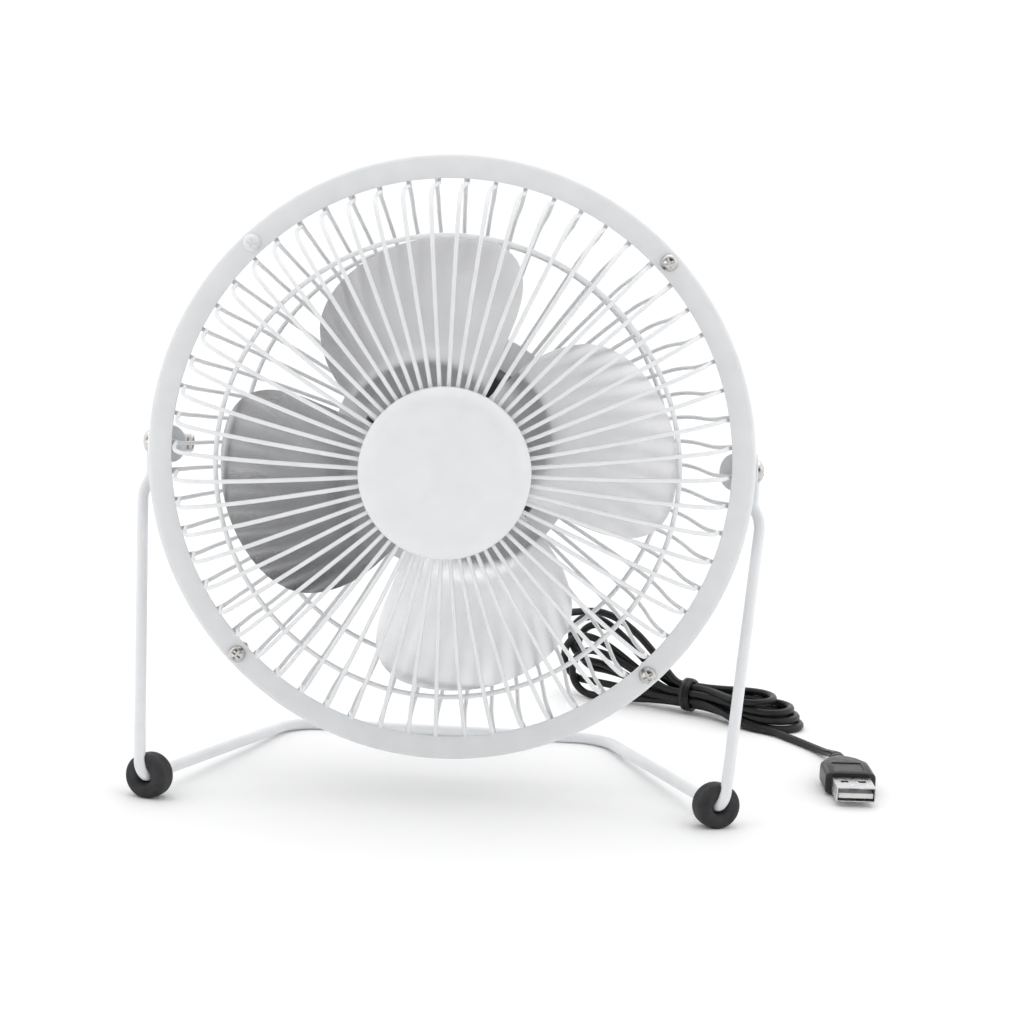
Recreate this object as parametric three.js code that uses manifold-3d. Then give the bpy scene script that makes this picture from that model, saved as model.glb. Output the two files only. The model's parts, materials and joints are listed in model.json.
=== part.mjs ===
// Small metal desk fan: a tilting wire-guard head on a bent-rod stand, with a USB lead tied in a hank.
// Millimetres, +Z up. The fan blows towards -Y, and the pivots lie on a line along X.
// Origin: on the floor, under the middle of the fan without its lead.

import * as THREE from 'three';
import * as BufferGeometryUtils from 'three/addons/utils/BufferGeometryUtils.js';
import Module from 'manifold-3d';

const wasm = await Module();
wasm.setup();

// ---------------------------------------------------------------- driving dimensions

const GAP = 0.3; // left between pieces that touch
const PIVOT_HEIGHT = 100;
const PIVOT_Y = 4.32; // puts the middle of the fan's depth at y = 0
const HEAD_TILT = THREE.MathUtils.degToRad(4); // leaning back at rest

// Head. Its own axes: x to the right, y up, z forward out of the fan, zero on the pivot line.
const RIM_RADIUS = 92.5;
const RIM_INNER_RADIUS = 85.2;
const RIM_FRONT_Z = 11.5;
const RIM_SKIRT_DEPTH = 5.6;
const SHEET = 0.9;
const REAR_RIM_Z = [5.15, 6.05];
const SPOKE_COUNT = 60;
const SPOKE_RADIUS = 0.65;
const SPOKE_JOG = THREE.MathUtils.degToRad(0.7); // how far a spoke's foot swings round the rim
const HOOP_WIRE_RADIUS = 0.7;
const FRONT_HOOP = { radius: 69, z: 32.8 };
const REAR_HOOP = { radius: 66, z: -13.3 };
const FRONT_PLATE = { radius: 22, z: [43.9, 45.6], hole: 2.3 };
const REAR_PLATE = { radius: 38.5, z: [-17, -15.5], hole: 6 };
const CAP = { radius: 25.5, back: 45.9, front: 50.6 };

// Impeller and motor, on the head's z axis
const BLADE_COUNT = 4;
const BLADE_PHASE = THREE.MathUtils.degToRad(4.8); // the first paddle's zero at rest, up from x
const BLADE_MIDDLE_Z = 24;
const BLADE_SHEET = 1;
const BLADE_ROOT_RADIUS = 14;
const BLADE_SETTLED_RADIUS = 36; // beyond it the whole paddle has its full pitch
const BLADE_OUTLINE = [ // [degrees from the paddle's own zero, radius], leading edge first
  [60, 16], [53.5, 31], [48, 44], [38, 57.5], [24, 64.5], [9, 67.6],
  [-7, 68.4], [-17, 67], [-23.5, 60.5], [-26.5, 50], [-27.8, 33], [-28.5, 16],
];
const HUB_DISC_RADIUS = 18;
const SHAFT_RADIUS = 1.25;
const RUNNING_CLEARANCE = 0.08;
const HOUSING = { radius: 29, wall: 1.8, back: -15.2, front: 5.5 };
const CAN = { radius: 12.2, wall: 0.8, back: -13, front: 3.2 };
const COVER = { radius: 31, wall: 2, front: -17.3, back: -32 };
const COVER_SCREW_RING = 24;

// Rim fasteners and pivots
const RIM_SCREW_RING = 89;
const RIM_SCREW = { shank: 1.4, head: 2.6, headHeight: 1.8 };
const PIVOT_SCREW = { shank: 2, head: 3.4, headHeight: 1.9, tip: 80.6 };
const PIVOT_SLEEVE = { radius: 3.1, tip: 80 };
const EAR_X = [92.2, 93.4];
const EAR_RADIUS = 5.5;

// Stand rod and feet
const ROD_RADIUS = 1.75;
const LEG_TOP = [95.2, -0.6, 84.5];
const FOOT_CORNER = [87.1, -50, 6.8];
const REAR_CORNER = [50.6, 41.5, 1.6];
const FOOT = { radius: 6.75, hole: 2.15, length: 7.6, alongRun: 5.9 };

// Lead, its hank and its plug
const CORD_RADIUS = 1.25;
const GROMMET_TIP = 45;
const GROMMET_Z = -24.5;
const TIE_PLACE = [79, 88];
const HANK_HEADING = THREE.MathUtils.degToRad(154.7); // from the tie to the hank's left end
const TIE_HEIGHT = 6.1;
const HANK_WAIST = 4.7;
const TIE_WIDTH = 4;
const TIE_BAND = 1;
const PLUG_BACK = [125, 26, 4];
const PLUG_YAW = THREE.MathUtils.degToRad(-85);

// ---------------------------------------------------------------- helpers

// The stand's frame has the pivots over y = 0. The head's frame has its zero on the pivot line.
const fan = new THREE.Group();
const base = new THREE.Group();
base.position.y = PIVOT_Y;
fan.add(base);
const head = new THREE.Group();
head.position.z = PIVOT_HEIGHT;
head.rotation.x = Math.PI / 2 - HEAD_TILT;
base.add(head);

function finish(color, roughness, metalness) {
  return new THREE.MeshStandardMaterial({ color, roughness, metalness });
}

const whitePaint = () => finish(0xe4e6e8, 0.35, 0);
const brightSteel = () => finish(0xb9bbbd, 0.25, 1);
const aluminium = () => finish(0xb4b6b9, 0.35, 1);
const blackPlastic = () => finish(0x17181a, 0.45, 0);
const blackRubber = () => finish(0x2e2f31, 0.8, 0);
const whitePlastic = () => finish(0xe8e8e4, 0.5, 0);
const bronze = () => finish(0x9c7648, 0.45, 1);

// Merges the shared corners, drops faces with no area and turns the faces to point out.
function closed(geometry) {
  const bare = geometry.clone();
  bare.deleteAttribute('normal');
  bare.deleteAttribute('uv');
  const merged = BufferGeometryUtils.mergeVertices(bare, 1e-4);
  const place = merged.getAttribute('position');
  const corner = (k) => new THREE.Vector3().fromBufferAttribute(place, k);
  const faces = [];
  let volume = 0;
  for (let k = 0; k < merged.index.count; k += 3) {
    const face = [0, 1, 2].map((n) => merged.index.getX(k + n));
    if (new Set(face).size < 3) continue;
    faces.push(face);
    volume += corner(face[0]).dot(corner(face[1]).cross(corner(face[2])));
  }
  merged.setIndex(faces.flatMap((face) => (volume < 0 ? face.reverse() : face)));
  return merged;
}

function toSolid(geometry) {
  const shape = closed(geometry);
  const vertProperties = new Float32Array(shape.getAttribute('position').array);
  const triVerts = new Uint32Array(shape.index.array);
  return new wasm.Manifold(new wasm.Mesh({ numProp: 3, vertProperties, triVerts }));
}

function toGeometry(solid) {
  const { vertProperties, triVerts } = solid.getMesh();
  const geometry = new THREE.BufferGeometry();
  geometry.setAttribute('position', new THREE.BufferAttribute(vertProperties, 3));
  geometry.setIndex(new THREE.BufferAttribute(triVerts, 1));
  return geometry;
}

function join(geometries) {
  return toGeometry(geometries.map(toSolid).reduce((whole, piece) => whole.add(piece)));
}

function cut(geometry, ...holes) {
  return toGeometry(holes.map(toSolid).reduce((whole, hole) => whole.subtract(hole), toSolid(geometry)));
}

function add(parent, name, geometry, material) {
  const shape = closed(geometry);
  shape.computeVertexNormals();
  const mesh = new THREE.Mesh(shape, material);
  mesh.name = name;
  parent.add(mesh);
  return mesh;
}

// A turned piece about z, from an outline of [radius, z] corners that closes on itself.
function turned(outline, segments = 48) {
  const points = [...outline, outline[0]].map(([r, z]) => new THREE.Vector2(r, z));
  return new THREE.LatheGeometry(points, segments).rotateX(Math.PI / 2);
}

function ring(inner, outer, low, high, segments) {
  return turned([[inner, low], [outer, low], [outer, high], [inner, high]], segments);
}

// A round bar about z.
function bar(radius, low, high, sides = 24) {
  const length = high - low;
  return new THREE.CylinderGeometry(radius, radius, length, sides)
    .rotateX(Math.PI / 2)
    .translate(0, 0, low + length / 2);
}

function block(low, high) {
  const size = high.map((value, k) => value - low[k]);
  return new THREE.BoxGeometry(...size).translate(...low.map((value, k) => value + size[k] / 2));
}

function polygon(sides, radius, turn = 0) {
  const corners = [];
  for (let k = 0; k < sides; k += 1) {
    const angle = turn + (k * 2 * Math.PI) / sides;
    corners.push(new THREE.Vector2(radius * Math.cos(angle), radius * Math.sin(angle)));
  }
  return new THREE.Shape(corners);
}

// A hexagonal nut about z, with its hole.
function nut(acrossFlats, hole, low, high) {
  const outline = polygon(6, acrossFlats / Math.sqrt(3));
  outline.holes.push(polygon(16, hole));
  return new THREE.ExtrudeGeometry(outline, { depth: high - low, bevelEnabled: false }).translate(0, 0, low);
}

// A curve through stations, with a section at each one.
class StationCurve extends THREE.Curve {
  constructor(stations) {
    super();
    this.stations = stations;
  }

  getPoint(t, target = new THREE.Vector3()) {
    const place = t * (this.stations.length - 1);
    const k = Math.min(Math.floor(place), this.stations.length - 2);
    return target.copy(this.stations[k]).lerp(this.stations[k + 1], place - k);
  }

  getPointAt(u, target) {
    return this.getPoint(u, target);
  }

  getTangentAt(u, target = new THREE.Vector3()) {
    const last = this.stations.length - 1;
    const k = Math.round(u * last);
    const chord = (a, b) => this.stations[b].clone().sub(this.stations[a]).normalize();
    const before = chord(Math.max(k - 1, 0), Math.max(k, 1));
    const after = chord(Math.min(k, last - 1), Math.min(k + 1, last));
    return target.copy(before.add(after)).normalize();
  }
}

function swept(stations, radius, sides, turn = 0) {
  return new THREE.ExtrudeGeometry(polygon(sides, radius, turn), {
    steps: stations.length - 1,
    extrudePath: new StationCurve(stations),
  });
}

// Stations along straight runs between corners, with an arc at each inner corner.
function bentPath(corners, radii, arcSteps = 4) {
  const points = corners.map((c) => new THREE.Vector3(...c));
  const stations = [points[0]];
  for (let k = 1; k < points.length - 1; k += 1) {
    const back = points[k - 1].clone().sub(points[k]).normalize();
    const ahead = points[k + 1].clone().sub(points[k]).normalize();
    const half = back.angleTo(ahead) / 2;
    const inwards = back.clone().add(ahead).normalize();
    const centre = points[k].clone().addScaledVector(inwards, radii[k - 1] / Math.sin(half));
    const start = points[k].clone().addScaledVector(back, radii[k - 1] / Math.tan(half));
    const end = points[k].clone().addScaledVector(ahead, radii[k - 1] / Math.tan(half));
    const spokeA = start.sub(centre);
    const spokeB = end.sub(centre);
    const axis = spokeA.clone().cross(spokeB).normalize();
    const sweep = spokeA.angleTo(spokeB);
    for (let n = 0; n <= arcSteps; n += 1) {
      stations.push(spokeA.clone().applyAxisAngle(axis, (sweep * n) / arcSteps).add(centre));
    }
  }
  stations.push(points[points.length - 1]);
  return stations;
}

function around(count, phase, make) {
  for (let k = 0; k < count; k += 1) make(phase + (k * 2 * Math.PI) / count, k + 1);
}

const SIDES = [['left', -1], ['right', 1]];

// ---------------------------------------------------------------- guards

function rims() {
  const back = RIM_FRONT_Z - SHEET;
  const outline = [
    [RIM_INNER_RADIUS, back],
    [RIM_RADIUS - SHEET, back],
    [RIM_RADIUS - SHEET, RIM_FRONT_Z - RIM_SKIRT_DEPTH],
    [RIM_RADIUS, RIM_FRONT_Z - RIM_SKIRT_DEPTH],
    [RIM_RADIUS, RIM_FRONT_Z - SHEET],
    [RIM_RADIUS - SHEET / 2, RIM_FRONT_Z],
    [RIM_INNER_RADIUS, RIM_FRONT_Z],
  ];
  const [low, high] = REAR_RIM_Z;
  const holes = [];
  around(4, Math.PI / 4, (angle) => {
    holes.push(bar(RIM_SCREW.shank + GAP, low - 1, RIM_FRONT_Z + 1, 12)
      .translate(RIM_SCREW_RING * Math.cos(angle), RIM_SCREW_RING * Math.sin(angle), 0));
  });
  add(head, 'front_rim', cut(turned(outline, 60), ...holes), whitePaint());
  add(head, 'rear_rim', cut(ring(86.4, RIM_RADIUS - SHEET - 2 * GAP, low, high, 60), ...holes), whitePaint());
}

// One guard: spokes that run from a centre plate out to the rim, joined to the plate.
function grille(plate, profile) {
  const [low, high] = plate.z;
  const parts = [ring(plate.hole, plate.radius, low, high, 40)];
  around(SPOKE_COUNT, 0, (angle) => {
    const stations = profile.map(([r, z, swing]) => {
      const turn = angle + swing * SPOKE_JOG;
      return new THREE.Vector3(r * Math.cos(turn), r * Math.sin(turn), z);
    });
    parts.push(swept(stations, SPOKE_RADIUS, 4));
  });
  return join(parts);
}

function guards() {
  const frontProfile = [
    [20.5, 44.75, 0], [50, 41.6, 0], [73, 33.8, 0], [82.2, 26.5, 0], [83.7, 11, -1], [85.2, 9, -1],
    [87.6, 8.85, -1],
  ];
  const rearProfile = [
    [37, -16.25, 0], [57, -14, 0], [73, -6.5, 0], [81.2, 7.1, -1], [87.6, 7.2, -1],
  ];
  add(head, 'front_grille', grille(FRONT_PLATE, frontProfile), whitePaint());
  add(head, 'rear_grille', grille(REAR_PLATE, rearProfile), whitePaint());
  const hoop = ({ radius, z }) => new THREE.TorusGeometry(radius, HOOP_WIRE_RADIUS, 4, 60).translate(0, 0, z);
  add(head, 'front_hoop', hoop(FRONT_HOOP), whitePaint());
  add(head, 'rear_hoop', hoop(REAR_HOOP), whitePaint());
}

function cap() {
  const { radius, back, front } = CAP;
  const stud = 1.9;
  const outline = [
    [0, front], [19.5, front], [22.6, front - 0.5], [24.7, front - 1.8], [radius, front - 3.4], [radius, back],
    [radius - SHEET, back], [radius - SHEET, front - 3.6], [24, front - 2.4], [22.2, front - 1.4],
    [19.5, front - SHEET], [stud, front - SHEET], [stud, 41], [0, 41],
  ];
  add(head, 'front_cap', turned(outline, 40), whitePaint());
  add(head, 'cap_nut', nut(7, stud + GAP, 41.3, FRONT_PLATE.z[0] - GAP), brightSteel());
}

function rimFasteners() {
  around(4, Math.PI / 4, (angle, number) => {
    const place = [RIM_SCREW_RING * Math.cos(angle), RIM_SCREW_RING * Math.sin(angle), 0];
    const { shank, head: radius, headHeight } = RIM_SCREW;
    const seat = RIM_FRONT_Z + GAP;
    const outline = [
      [0, seat + headHeight], [1.3, seat + headHeight * 0.96], [2.1, seat + headHeight * 0.72],
      [radius, seat + headHeight * 0.25], [radius, seat], [shank, seat], [shank, 1.4], [0, 1.4],
    ];
    const slots = [0, 1].map((turn) => block([-1.25, -0.32, seat + 0.9], [1.25, 0.32, seat + 3])
      .rotateZ(turn * Math.PI / 2));
    const screw = cut(turned(outline, 12), join(slots)).translate(...place);
    add(head, `rim_screw_${number}`, screw, brightSteel());
    const rimNut = nut(5.5, shank + GAP, REAR_RIM_Z[0] - GAP - 2.3, REAR_RIM_Z[0] - GAP);
    add(head, `rim_nut_${number}`, rimNut.translate(...place), brightSteel());
  });
}

// ---------------------------------------------------------------- pivots

// Turns a piece made about z so that it lies along x, pointing to that side.
function alongX(geometry, side) {
  return geometry.rotateY(side * Math.PI / 2);
}

function pivots() {
  const plateBack = 3.8;
  const plateFront = REAR_RIM_Z[0] - GAP;
  for (const [name, side] of SIDES) {
    const face = new THREE.Shape();
    face.moveTo(89.3, -5.8);
    face.lineTo(86, -5.8);
    face.quadraticCurveTo(81.6, -4.4, 81.6, 0);
    face.quadraticCurveTo(81.6, 4.4, 86, 5.8);
    face.lineTo(89.3, 5.8);
    const facePlate = new THREE.ExtrudeGeometry(face, {
      depth: plateFront - plateBack, bevelEnabled: false, curveSegments: 6,
    }).translate(0, 0, plateBack);
    const wall = block([88.1, -5.8, -5.5], [89.3, 5.8, plateBack + 0.4]);
    const hole = alongX(bar(PIVOT_SCREW.shank + GAP, 86, 92, 16), 1);
    const bracket = cut(join([facePlate, wall]), hole);
    if (side < 0) bracket.rotateZ(Math.PI);
    add(head, `pivot_bracket_${name}`, bracket, whitePaint());

    // The left nut is a long round sleeve, the right one a plain hexagon.
    const nutPiece = side < 0
      ? ring(PIVOT_SCREW.shank + GAP, PIVOT_SLEEVE.radius, PIVOT_SLEEVE.tip, 88.1 - GAP, 24)
      : nut(6.4, PIVOT_SCREW.shank + GAP, 84.6, 88.1 - GAP).rotateZ(Math.PI / 6);
    add(head, `pivot_nut_${name}`, alongX(nutPiece, side), brightSteel());
    const spacer = alongX(ring(PIVOT_SCREW.shank + GAP, 4.5, 89.3 + GAP, EAR_X[0] - GAP, 24), side);
    add(head, `pivot_spacer_${name}`, spacer, whitePlastic());

    const { shank, head: radius, headHeight, tip } = PIVOT_SCREW;
    const seat = EAR_X[1] + GAP;
    const outline = [
      [0, tip], [shank - 0.5, tip], [shank, tip + 0.5], [shank, seat], [radius, seat], [radius, seat + 0.5],
      [radius * 0.78, seat + headHeight * 0.75], [radius * 0.4, seat + headHeight], [0, seat + headHeight],
    ];
    add(head, `pivot_screw_${name}`, alongX(turned(outline, 16), side), brightSteel());
  }
}

// ---------------------------------------------------------------- impeller and motor

// How far forward of the hub's disc a paddle lies: its leading edge is the front one.
function bladeRise(radius, angle) {
  const settle = THREE.MathUtils.smoothstep(radius, BLADE_ROOT_RADIUS + 1, BLADE_SETTLED_RADIUS);
  const arc = radius * (angle - THREE.MathUtils.degToRad(5));
  return settle * (3 + 0.215 * arc + 0.0012 * arc * arc);
}

// A sheet between an arc on the hub's disc and the paddle's outline.
function blade() {
  const last = BLADE_OUTLINE.length - 1;
  const sheet = new THREE.BoxGeometry(1, 1, 1, 5, last, 1);
  const place = sheet.getAttribute('position');
  const onCircle = (degrees, radius) => {
    const turn = THREE.MathUtils.degToRad(degrees);
    return new THREE.Vector2(radius * Math.cos(turn), radius * Math.sin(turn));
  };
  for (let k = 0; k < place.count; k += 1) {
    const along = place.getY(k) + 0.5;
    const rootAngle = THREE.MathUtils.lerp(BLADE_OUTLINE[last][0], BLADE_OUTLINE[0][0], along);
    const outer = onCircle(...BLADE_OUTLINE[Math.round((1 - along) * last)]);
    const spot = onCircle(rootAngle, BLADE_ROOT_RADIUS).lerp(outer, place.getX(k) + 0.5);
    const rise = bladeRise(spot.length(), Math.atan2(spot.y, spot.x));
    place.setXYZ(k, spot.x, spot.y, BLADE_MIDDLE_Z + rise + place.getZ(k) * BLADE_SHEET);
  }
  return sheet;
}

function impeller() {
  const half = BLADE_SHEET / 2;
  const discLow = BLADE_MIDDLE_Z - half - 0.1;
  const parts = [ring(SHAFT_RADIUS + GAP, HUB_DISC_RADIUS, discLow, BLADE_MIDDLE_Z + half, 40)];
  around(BLADE_COUNT, BLADE_PHASE, (angle) => parts.push(blade().rotateZ(angle)));
  add(head, 'impeller_blades', join(parts), aluminium());

  const hubTop = discLow - GAP;
  const bore = SHAFT_RADIUS + GAP;
  const hub = [[bore, 8.5], [6, 8.5], [6.6, 9.1], [6.6, 16], [12, 19], [12, hubTop], [bore, hubTop]];
  add(head, 'impeller_hub', turned(hub, 32), blackPlastic());
  const washerTop = BLADE_MIDDLE_Z + half + GAP + 0.8;
  add(head, 'hub_washer', ring(bore, 7, washerTop - 0.8, washerTop, 24), brightSteel());
  add(head, 'hub_nut', nut(5.5, bore, washerTop + GAP, washerTop + GAP + 2.4), brightSteel());
  const shaftTip = washerTop + 4.2;
  const shaft = [
    [0, -15], [SHAFT_RADIUS, -15], [SHAFT_RADIUS, shaftTip - 0.4], [SHAFT_RADIUS - 0.4, shaftTip],
    [0, shaftTip],
  ];
  add(head, 'motor_shaft', turned(shaft, 16), brightSteel());
}

function motor() {
  const bore = SHAFT_RADIUS + RUNNING_CLEARANCE;
  const { radius, wall, back, front } = CAN;
  const canOutline = [
    [3.4, front], [radius - 0.6, front], [radius, front - 0.6], [radius, back], [radius - wall, back],
    [radius - wall, front - wall], [3.4, front - wall],
  ];
  const screwHoles = [-1, 1].map((side) => bar(1.3, front - 2, front + 1, 12).translate(side * 8, 0, 0));
  add(head, 'motor_can', cut(turned(canOutline, 32), ...screwHoles), brightSteel());
  add(head, 'front_bush', ring(bore, 3.4 - GAP, front - 2, front + 1.6, 20), bronze());

  const inner = radius - wall - GAP - 0.1;
  const bell = [[3.1, back + 1.6], [inner, back + 1.6], [inner, back], [3.1, back]];
  add(head, 'motor_end_bell', turned(bell, 32), blackPlastic());
  add(head, 'rear_bush', ring(bore, 3.1 - GAP, back - 0.6, back + 2.2, 20), bronze());

  const lobes = new THREE.Shape();
  for (let k = 0; k <= 36; k += 1) {
    const turn = (k * 2 * Math.PI) / 36;
    const reach = 6.6 + 1.2 * Math.tanh(4 * Math.cos(3 * turn));
    lobes[k === 0 ? 'moveTo' : 'lineTo'](reach * Math.cos(turn), reach * Math.sin(turn));
  }
  lobes.holes.push(polygon(16, SHAFT_RADIUS + GAP));
  const core = new THREE.ExtrudeGeometry(lobes, { depth: 9, bevelEnabled: false }).translate(0, 0, -9.8);
  add(head, 'armature', core, finish(0x8a6a4a, 0.5, 0.6));

  for (const [name, side] of SIDES) {
    const arc = new THREE.Shape();
    arc.absarc(0, 0, inner, -1.1, 1.1, false);
    arc.absarc(0, 0, 8.5, 1.1, -1.1, true);
    const magnet = new THREE.ExtrudeGeometry(arc, { depth: 10, bevelEnabled: false, curveSegments: 8 });
    magnet.translate(0, 0, -10.5).rotateZ(side < 0 ? Math.PI : 0);
    add(head, `magnet_${name}`, magnet, finish(0x3c3c40, 0.6, 0.4));
  }
  SIDES.forEach(([, side], k) => {
    const seat = HOUSING.front + GAP;
    const tip = front - 1.6;
    const outline = [[0, seat + 1], [1.6, seat + 0.7], [2.2, seat], [1, seat], [1, tip], [0, tip]];
    add(head, `motor_screw_${k + 1}`, turned(outline, 12).translate(side * 8, 0, 0), brightSteel());
  });
}

function housings() {
  const { radius, wall, back, front } = HOUSING;
  const shell = [
    [7, front], [radius - 2.5, front], [radius - 0.7, front - 0.7], [radius, front - 2.5], [radius, back],
    [radius - wall, back], [radius - wall, front - wall], [7, front - wall],
  ];
  const spots = [];
  around(3, Math.PI / 2, (angle) => {
    spots.push([COVER_SCREW_RING * Math.cos(angle), COVER_SCREW_RING * Math.sin(angle), 0]);
  });
  const bosses = spots.map((spot) => bar(4, back + 0.2, front - 1, 10).translate(...spot));
  const pilots = spots.map((spot) => bar(1.6, back - 1, back + 9, 12).translate(...spot));
  const motorHoles = [-1, 1].map((side) => bar(1.3, front - 4, front + 1, 12).translate(side * 8, 0, 0));
  const housing = cut(join([turned(shell, 36), ...bosses]), ...pilots, ...motorHoles);
  add(head, 'motor_housing', housing, blackPlastic());

  const rear = COVER.back;
  const cup = [
    [0, rear], [COVER.radius - 3, rear], [COVER.radius - 0.8, rear + 0.8], [COVER.radius, rear + 3],
    [COVER.radius, COVER.front], [COVER.radius - COVER.wall, COVER.front],
    [COVER.radius - COVER.wall, rear + COVER.wall], [0, rear + COVER.wall],
  ];
  const coverBosses = spots.map((spot) => bar(3.2, rear + 1, COVER.front, 12).translate(...spot));
  const coverHoles = spots.map((spot) => bar(1.7, rear - 1, COVER.front + 1, 12).translate(...spot));
  const wells = spots.map((spot) => bar(2.9, rear - 1, rear + 2.2, 12).translate(...spot));
  const switchHole = block([-7.1, 1.9, rear - 1], [7.1, 12.1, rear + 4]);
  const leadHole = bar(2.75, COVER.radius - 5, COVER.radius + 3, 16)
    .rotateX(Math.PI / 2).translate(0, 0, GROMMET_Z);
  const cover = cut(join([turned(cup, 36), ...coverBosses]), ...coverHoles, ...wells, switchHole, leadHole);
  add(head, 'rear_cover', cover, blackPlastic());

  spots.forEach((spot, k) => {
    const seat = rear + 2.2 - GAP;
    const outline = [
      [0, rear + 0.2], [1.8, rear + 0.4], [2.5, rear + 1], [2.5, seat], [1.25, seat], [1.25, back + 8],
      [0, back + 8],
    ];
    add(head, `cover_screw_${k + 1}`, turned(outline, 12).translate(...spot), brightSteel());
  });
}

// The rear plate has holes for the three screws and for the motor's leads.
function rearPlateHoles() {
  const mesh = head.getObjectByName('rear_grille');
  const holes = [];
  around(3, Math.PI / 2, (angle) => {
    holes.push(bar(1.7, -19, -14, 12).translate(
      COVER_SCREW_RING * Math.cos(angle), COVER_SCREW_RING * Math.sin(angle), 0));
  });
  mesh.geometry = closed(cut(mesh.geometry, ...holes));
  mesh.geometry.computeVertexNormals();
}

function powerSwitch() {
  const rear = COVER.back;
  const middle = 7;
  const frame = join([
    block([-8, middle - 5.9, rear - 1.3], [8, middle + 5.9, rear - GAP]),
    block([-6.8, middle - 4.8, rear - 0.6], [6.8, middle + 4.8, rear + 9]),
  ]);
  const well = block([-5.9, middle - 3.9, rear - 3], [5.9, middle + 3.9, rear + 5.6]);
  add(head, 'switch_body', cut(frame, well), blackPlastic());

  // Seen along its pivot, the rocker is a shallow V: one half stands proud of the frame, the other lies in it.
  const side = new THREE.Shape();
  side.moveTo(-5.1, 2.5);
  side.lineTo(0, 0.9);
  side.lineTo(5.1, 0.54);
  side.lineTo(4.6, -1.6);
  side.lineTo(0, -2.6);
  side.lineTo(-4.6, -1.6);
  const rocker = new THREE.ExtrudeGeometry(side, { depth: 7.2, bevelEnabled: false });
  rocker.translate(0, 0, -3.6).rotateX(-Math.PI / 2).translate(0, middle, rear + 0.2);
  add(head, 'switch_rocker', rocker, blackPlastic());
}

// ---------------------------------------------------------------- stand

function standCorners(side) {
  const path = [
    [92.6, 0, 94.7], [92.6, 0, 89.4], LEG_TOP, FOOT_CORNER, REAR_CORNER,
  ];
  return path.map(([x, y, z]) => [side * x, y, z]);
}

function rodSweep(radius) {
  const right = standCorners(1);
  const left = standCorners(-1).reverse();
  const bends = [5, 9, 3.6, 14, 14, 3.6, 9, 5];
  return swept(bentPath([...right, ...left], bends), radius, 8, Math.PI / 8);
}

// Everything under the floor's level, to cut flat patches where the stand sits on it.
function underFloor() {
  return block([-120, -80, -5], [120, 80, 0]);
}

function stand() {
  const ears = SIDES.flatMap(([, side]) => [
    alongX(bar(EAR_RADIUS, EAR_X[0], EAR_X[1], 20), side).translate(0, 0, PIVOT_HEIGHT),
    block([EAR_X[0], -2.6, 92.5], [EAR_X[1], 2.6, 98]).scale(side, 1, 1),
  ]);
  const holes = SIDES.map(([, side]) => alongX(bar(PIVOT_SCREW.shank + GAP, 90, 96, 16), side)
    .translate(0, 0, PIVOT_HEIGHT));
  add(base, 'stand_rod', cut(join([rodSweep(ROD_RADIUS), ...ears]), ...holes, underFloor()), whitePaint());
}

// A thick rubber ring threaded on the rod, where the leg turns into the floor run.
function foot(name, side) {
  const [corner, rear] = standCorners(side).slice(3).map((c) => new THREE.Vector3(...c));
  const run = rear.sub(corner).normalize();
  const { radius, hole, length, alongRun } = FOOT;
  const half = length / 2;
  const outline = [
    [hole, -half], [radius - 2, -half], [radius - 0.7, -half + 0.7], [radius, -half + 2.4],
    [radius, half - 2.4], [radius - 0.7, half - 0.7], [radius - 2, half], [hole, half],
  ];
  const across = new THREE.Vector3(0, 0, 1).cross(run).normalize();
  const frame = new THREE.Matrix4().makeBasis(across, run.clone().cross(across), run);
  frame.setPosition(corner.clone().addScaledVector(run, alongRun));
  const donut = turned(outline, 24).applyMatrix4(frame);
  add(base, name, cut(donut, rodSweep(hole + 0.1), underFloor()), blackRubber());
}

// ---------------------------------------------------------------- lead, hank and plug

function grommet() {
  const hole = CORD_RADIUS + GAP;
  const wall = COVER.radius - COVER.wall;
  const outline = [
    [hole, wall - 2], [3.6, wall - 2], [3.6, wall - 0.6], [2.4, wall - 0.6], [2.4, COVER.radius + 0.6],
    [3.5, COVER.radius + 0.6], [3.3, COVER.radius + 3], [2.1, GROMMET_TIP], [hole, GROMMET_TIP],
  ];
  const piece = turned(outline, 16).rotateX(Math.PI / 2).translate(0, 0, GROMMET_Z);
  add(head, 'cord_grommet', piece, blackRubber());
}

function smoothTube(points, steps) {
  const curve = new THREE.CatmullRomCurve3(points.map((p) => new THREE.Vector3(...p)), false, 'centripetal');
  return swept(curve.getSpacedPoints(steps), CORD_RADIUS, 8);
}

// Where the lead leaves the grommet's tip, a gap below it.
function leadStart() {
  return new THREE.Vector3(0, -(GROMMET_TIP + GAP), GROMMET_Z).applyEuler(head.rotation).add(head.position);
}

function leads() {
  const { y, z } = leadStart();
  const tail = [
    [0, y, z], [0, y - 0.2, z - 4], [0.6, y + 2, z - 9.5], [3, y + 8, z - 14], [8.5, 41, 36.4],
    [15.5, 56, 34.2], [24.5, 74, 32.6], [34.5, 90, 31.4], [41, 96.5, 31], [47.5, 99.8, 30.4],
    [54, 99.6, 28.2], [60, 97.3, 24.4],
    [65.2, 94.8, 19.7], [69.6, 92.4, 14.8],
  ];
  add(base, 'cord_tail', smoothTube(tail, 44), blackPlastic());
  const lead = [
    [107, 62.2, 1.35], [111.2, 57.1, 1.3], [115.3, 51.4, 1.3], [119.2, 45.2, 1.4], [122.4, 38.8, 1.9],
    [124.2, 32.8, 3.1], [PLUG_BACK[0] - 0.2, PLUG_BACK[1] + 2.6, 3.9],
    [PLUG_BACK[0], PLUG_BACK[1] + 2 * GAP, 4],
  ];
  add(base, 'cord_lead', smoothTube(lead, 14), blackPlastic());
}

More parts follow.
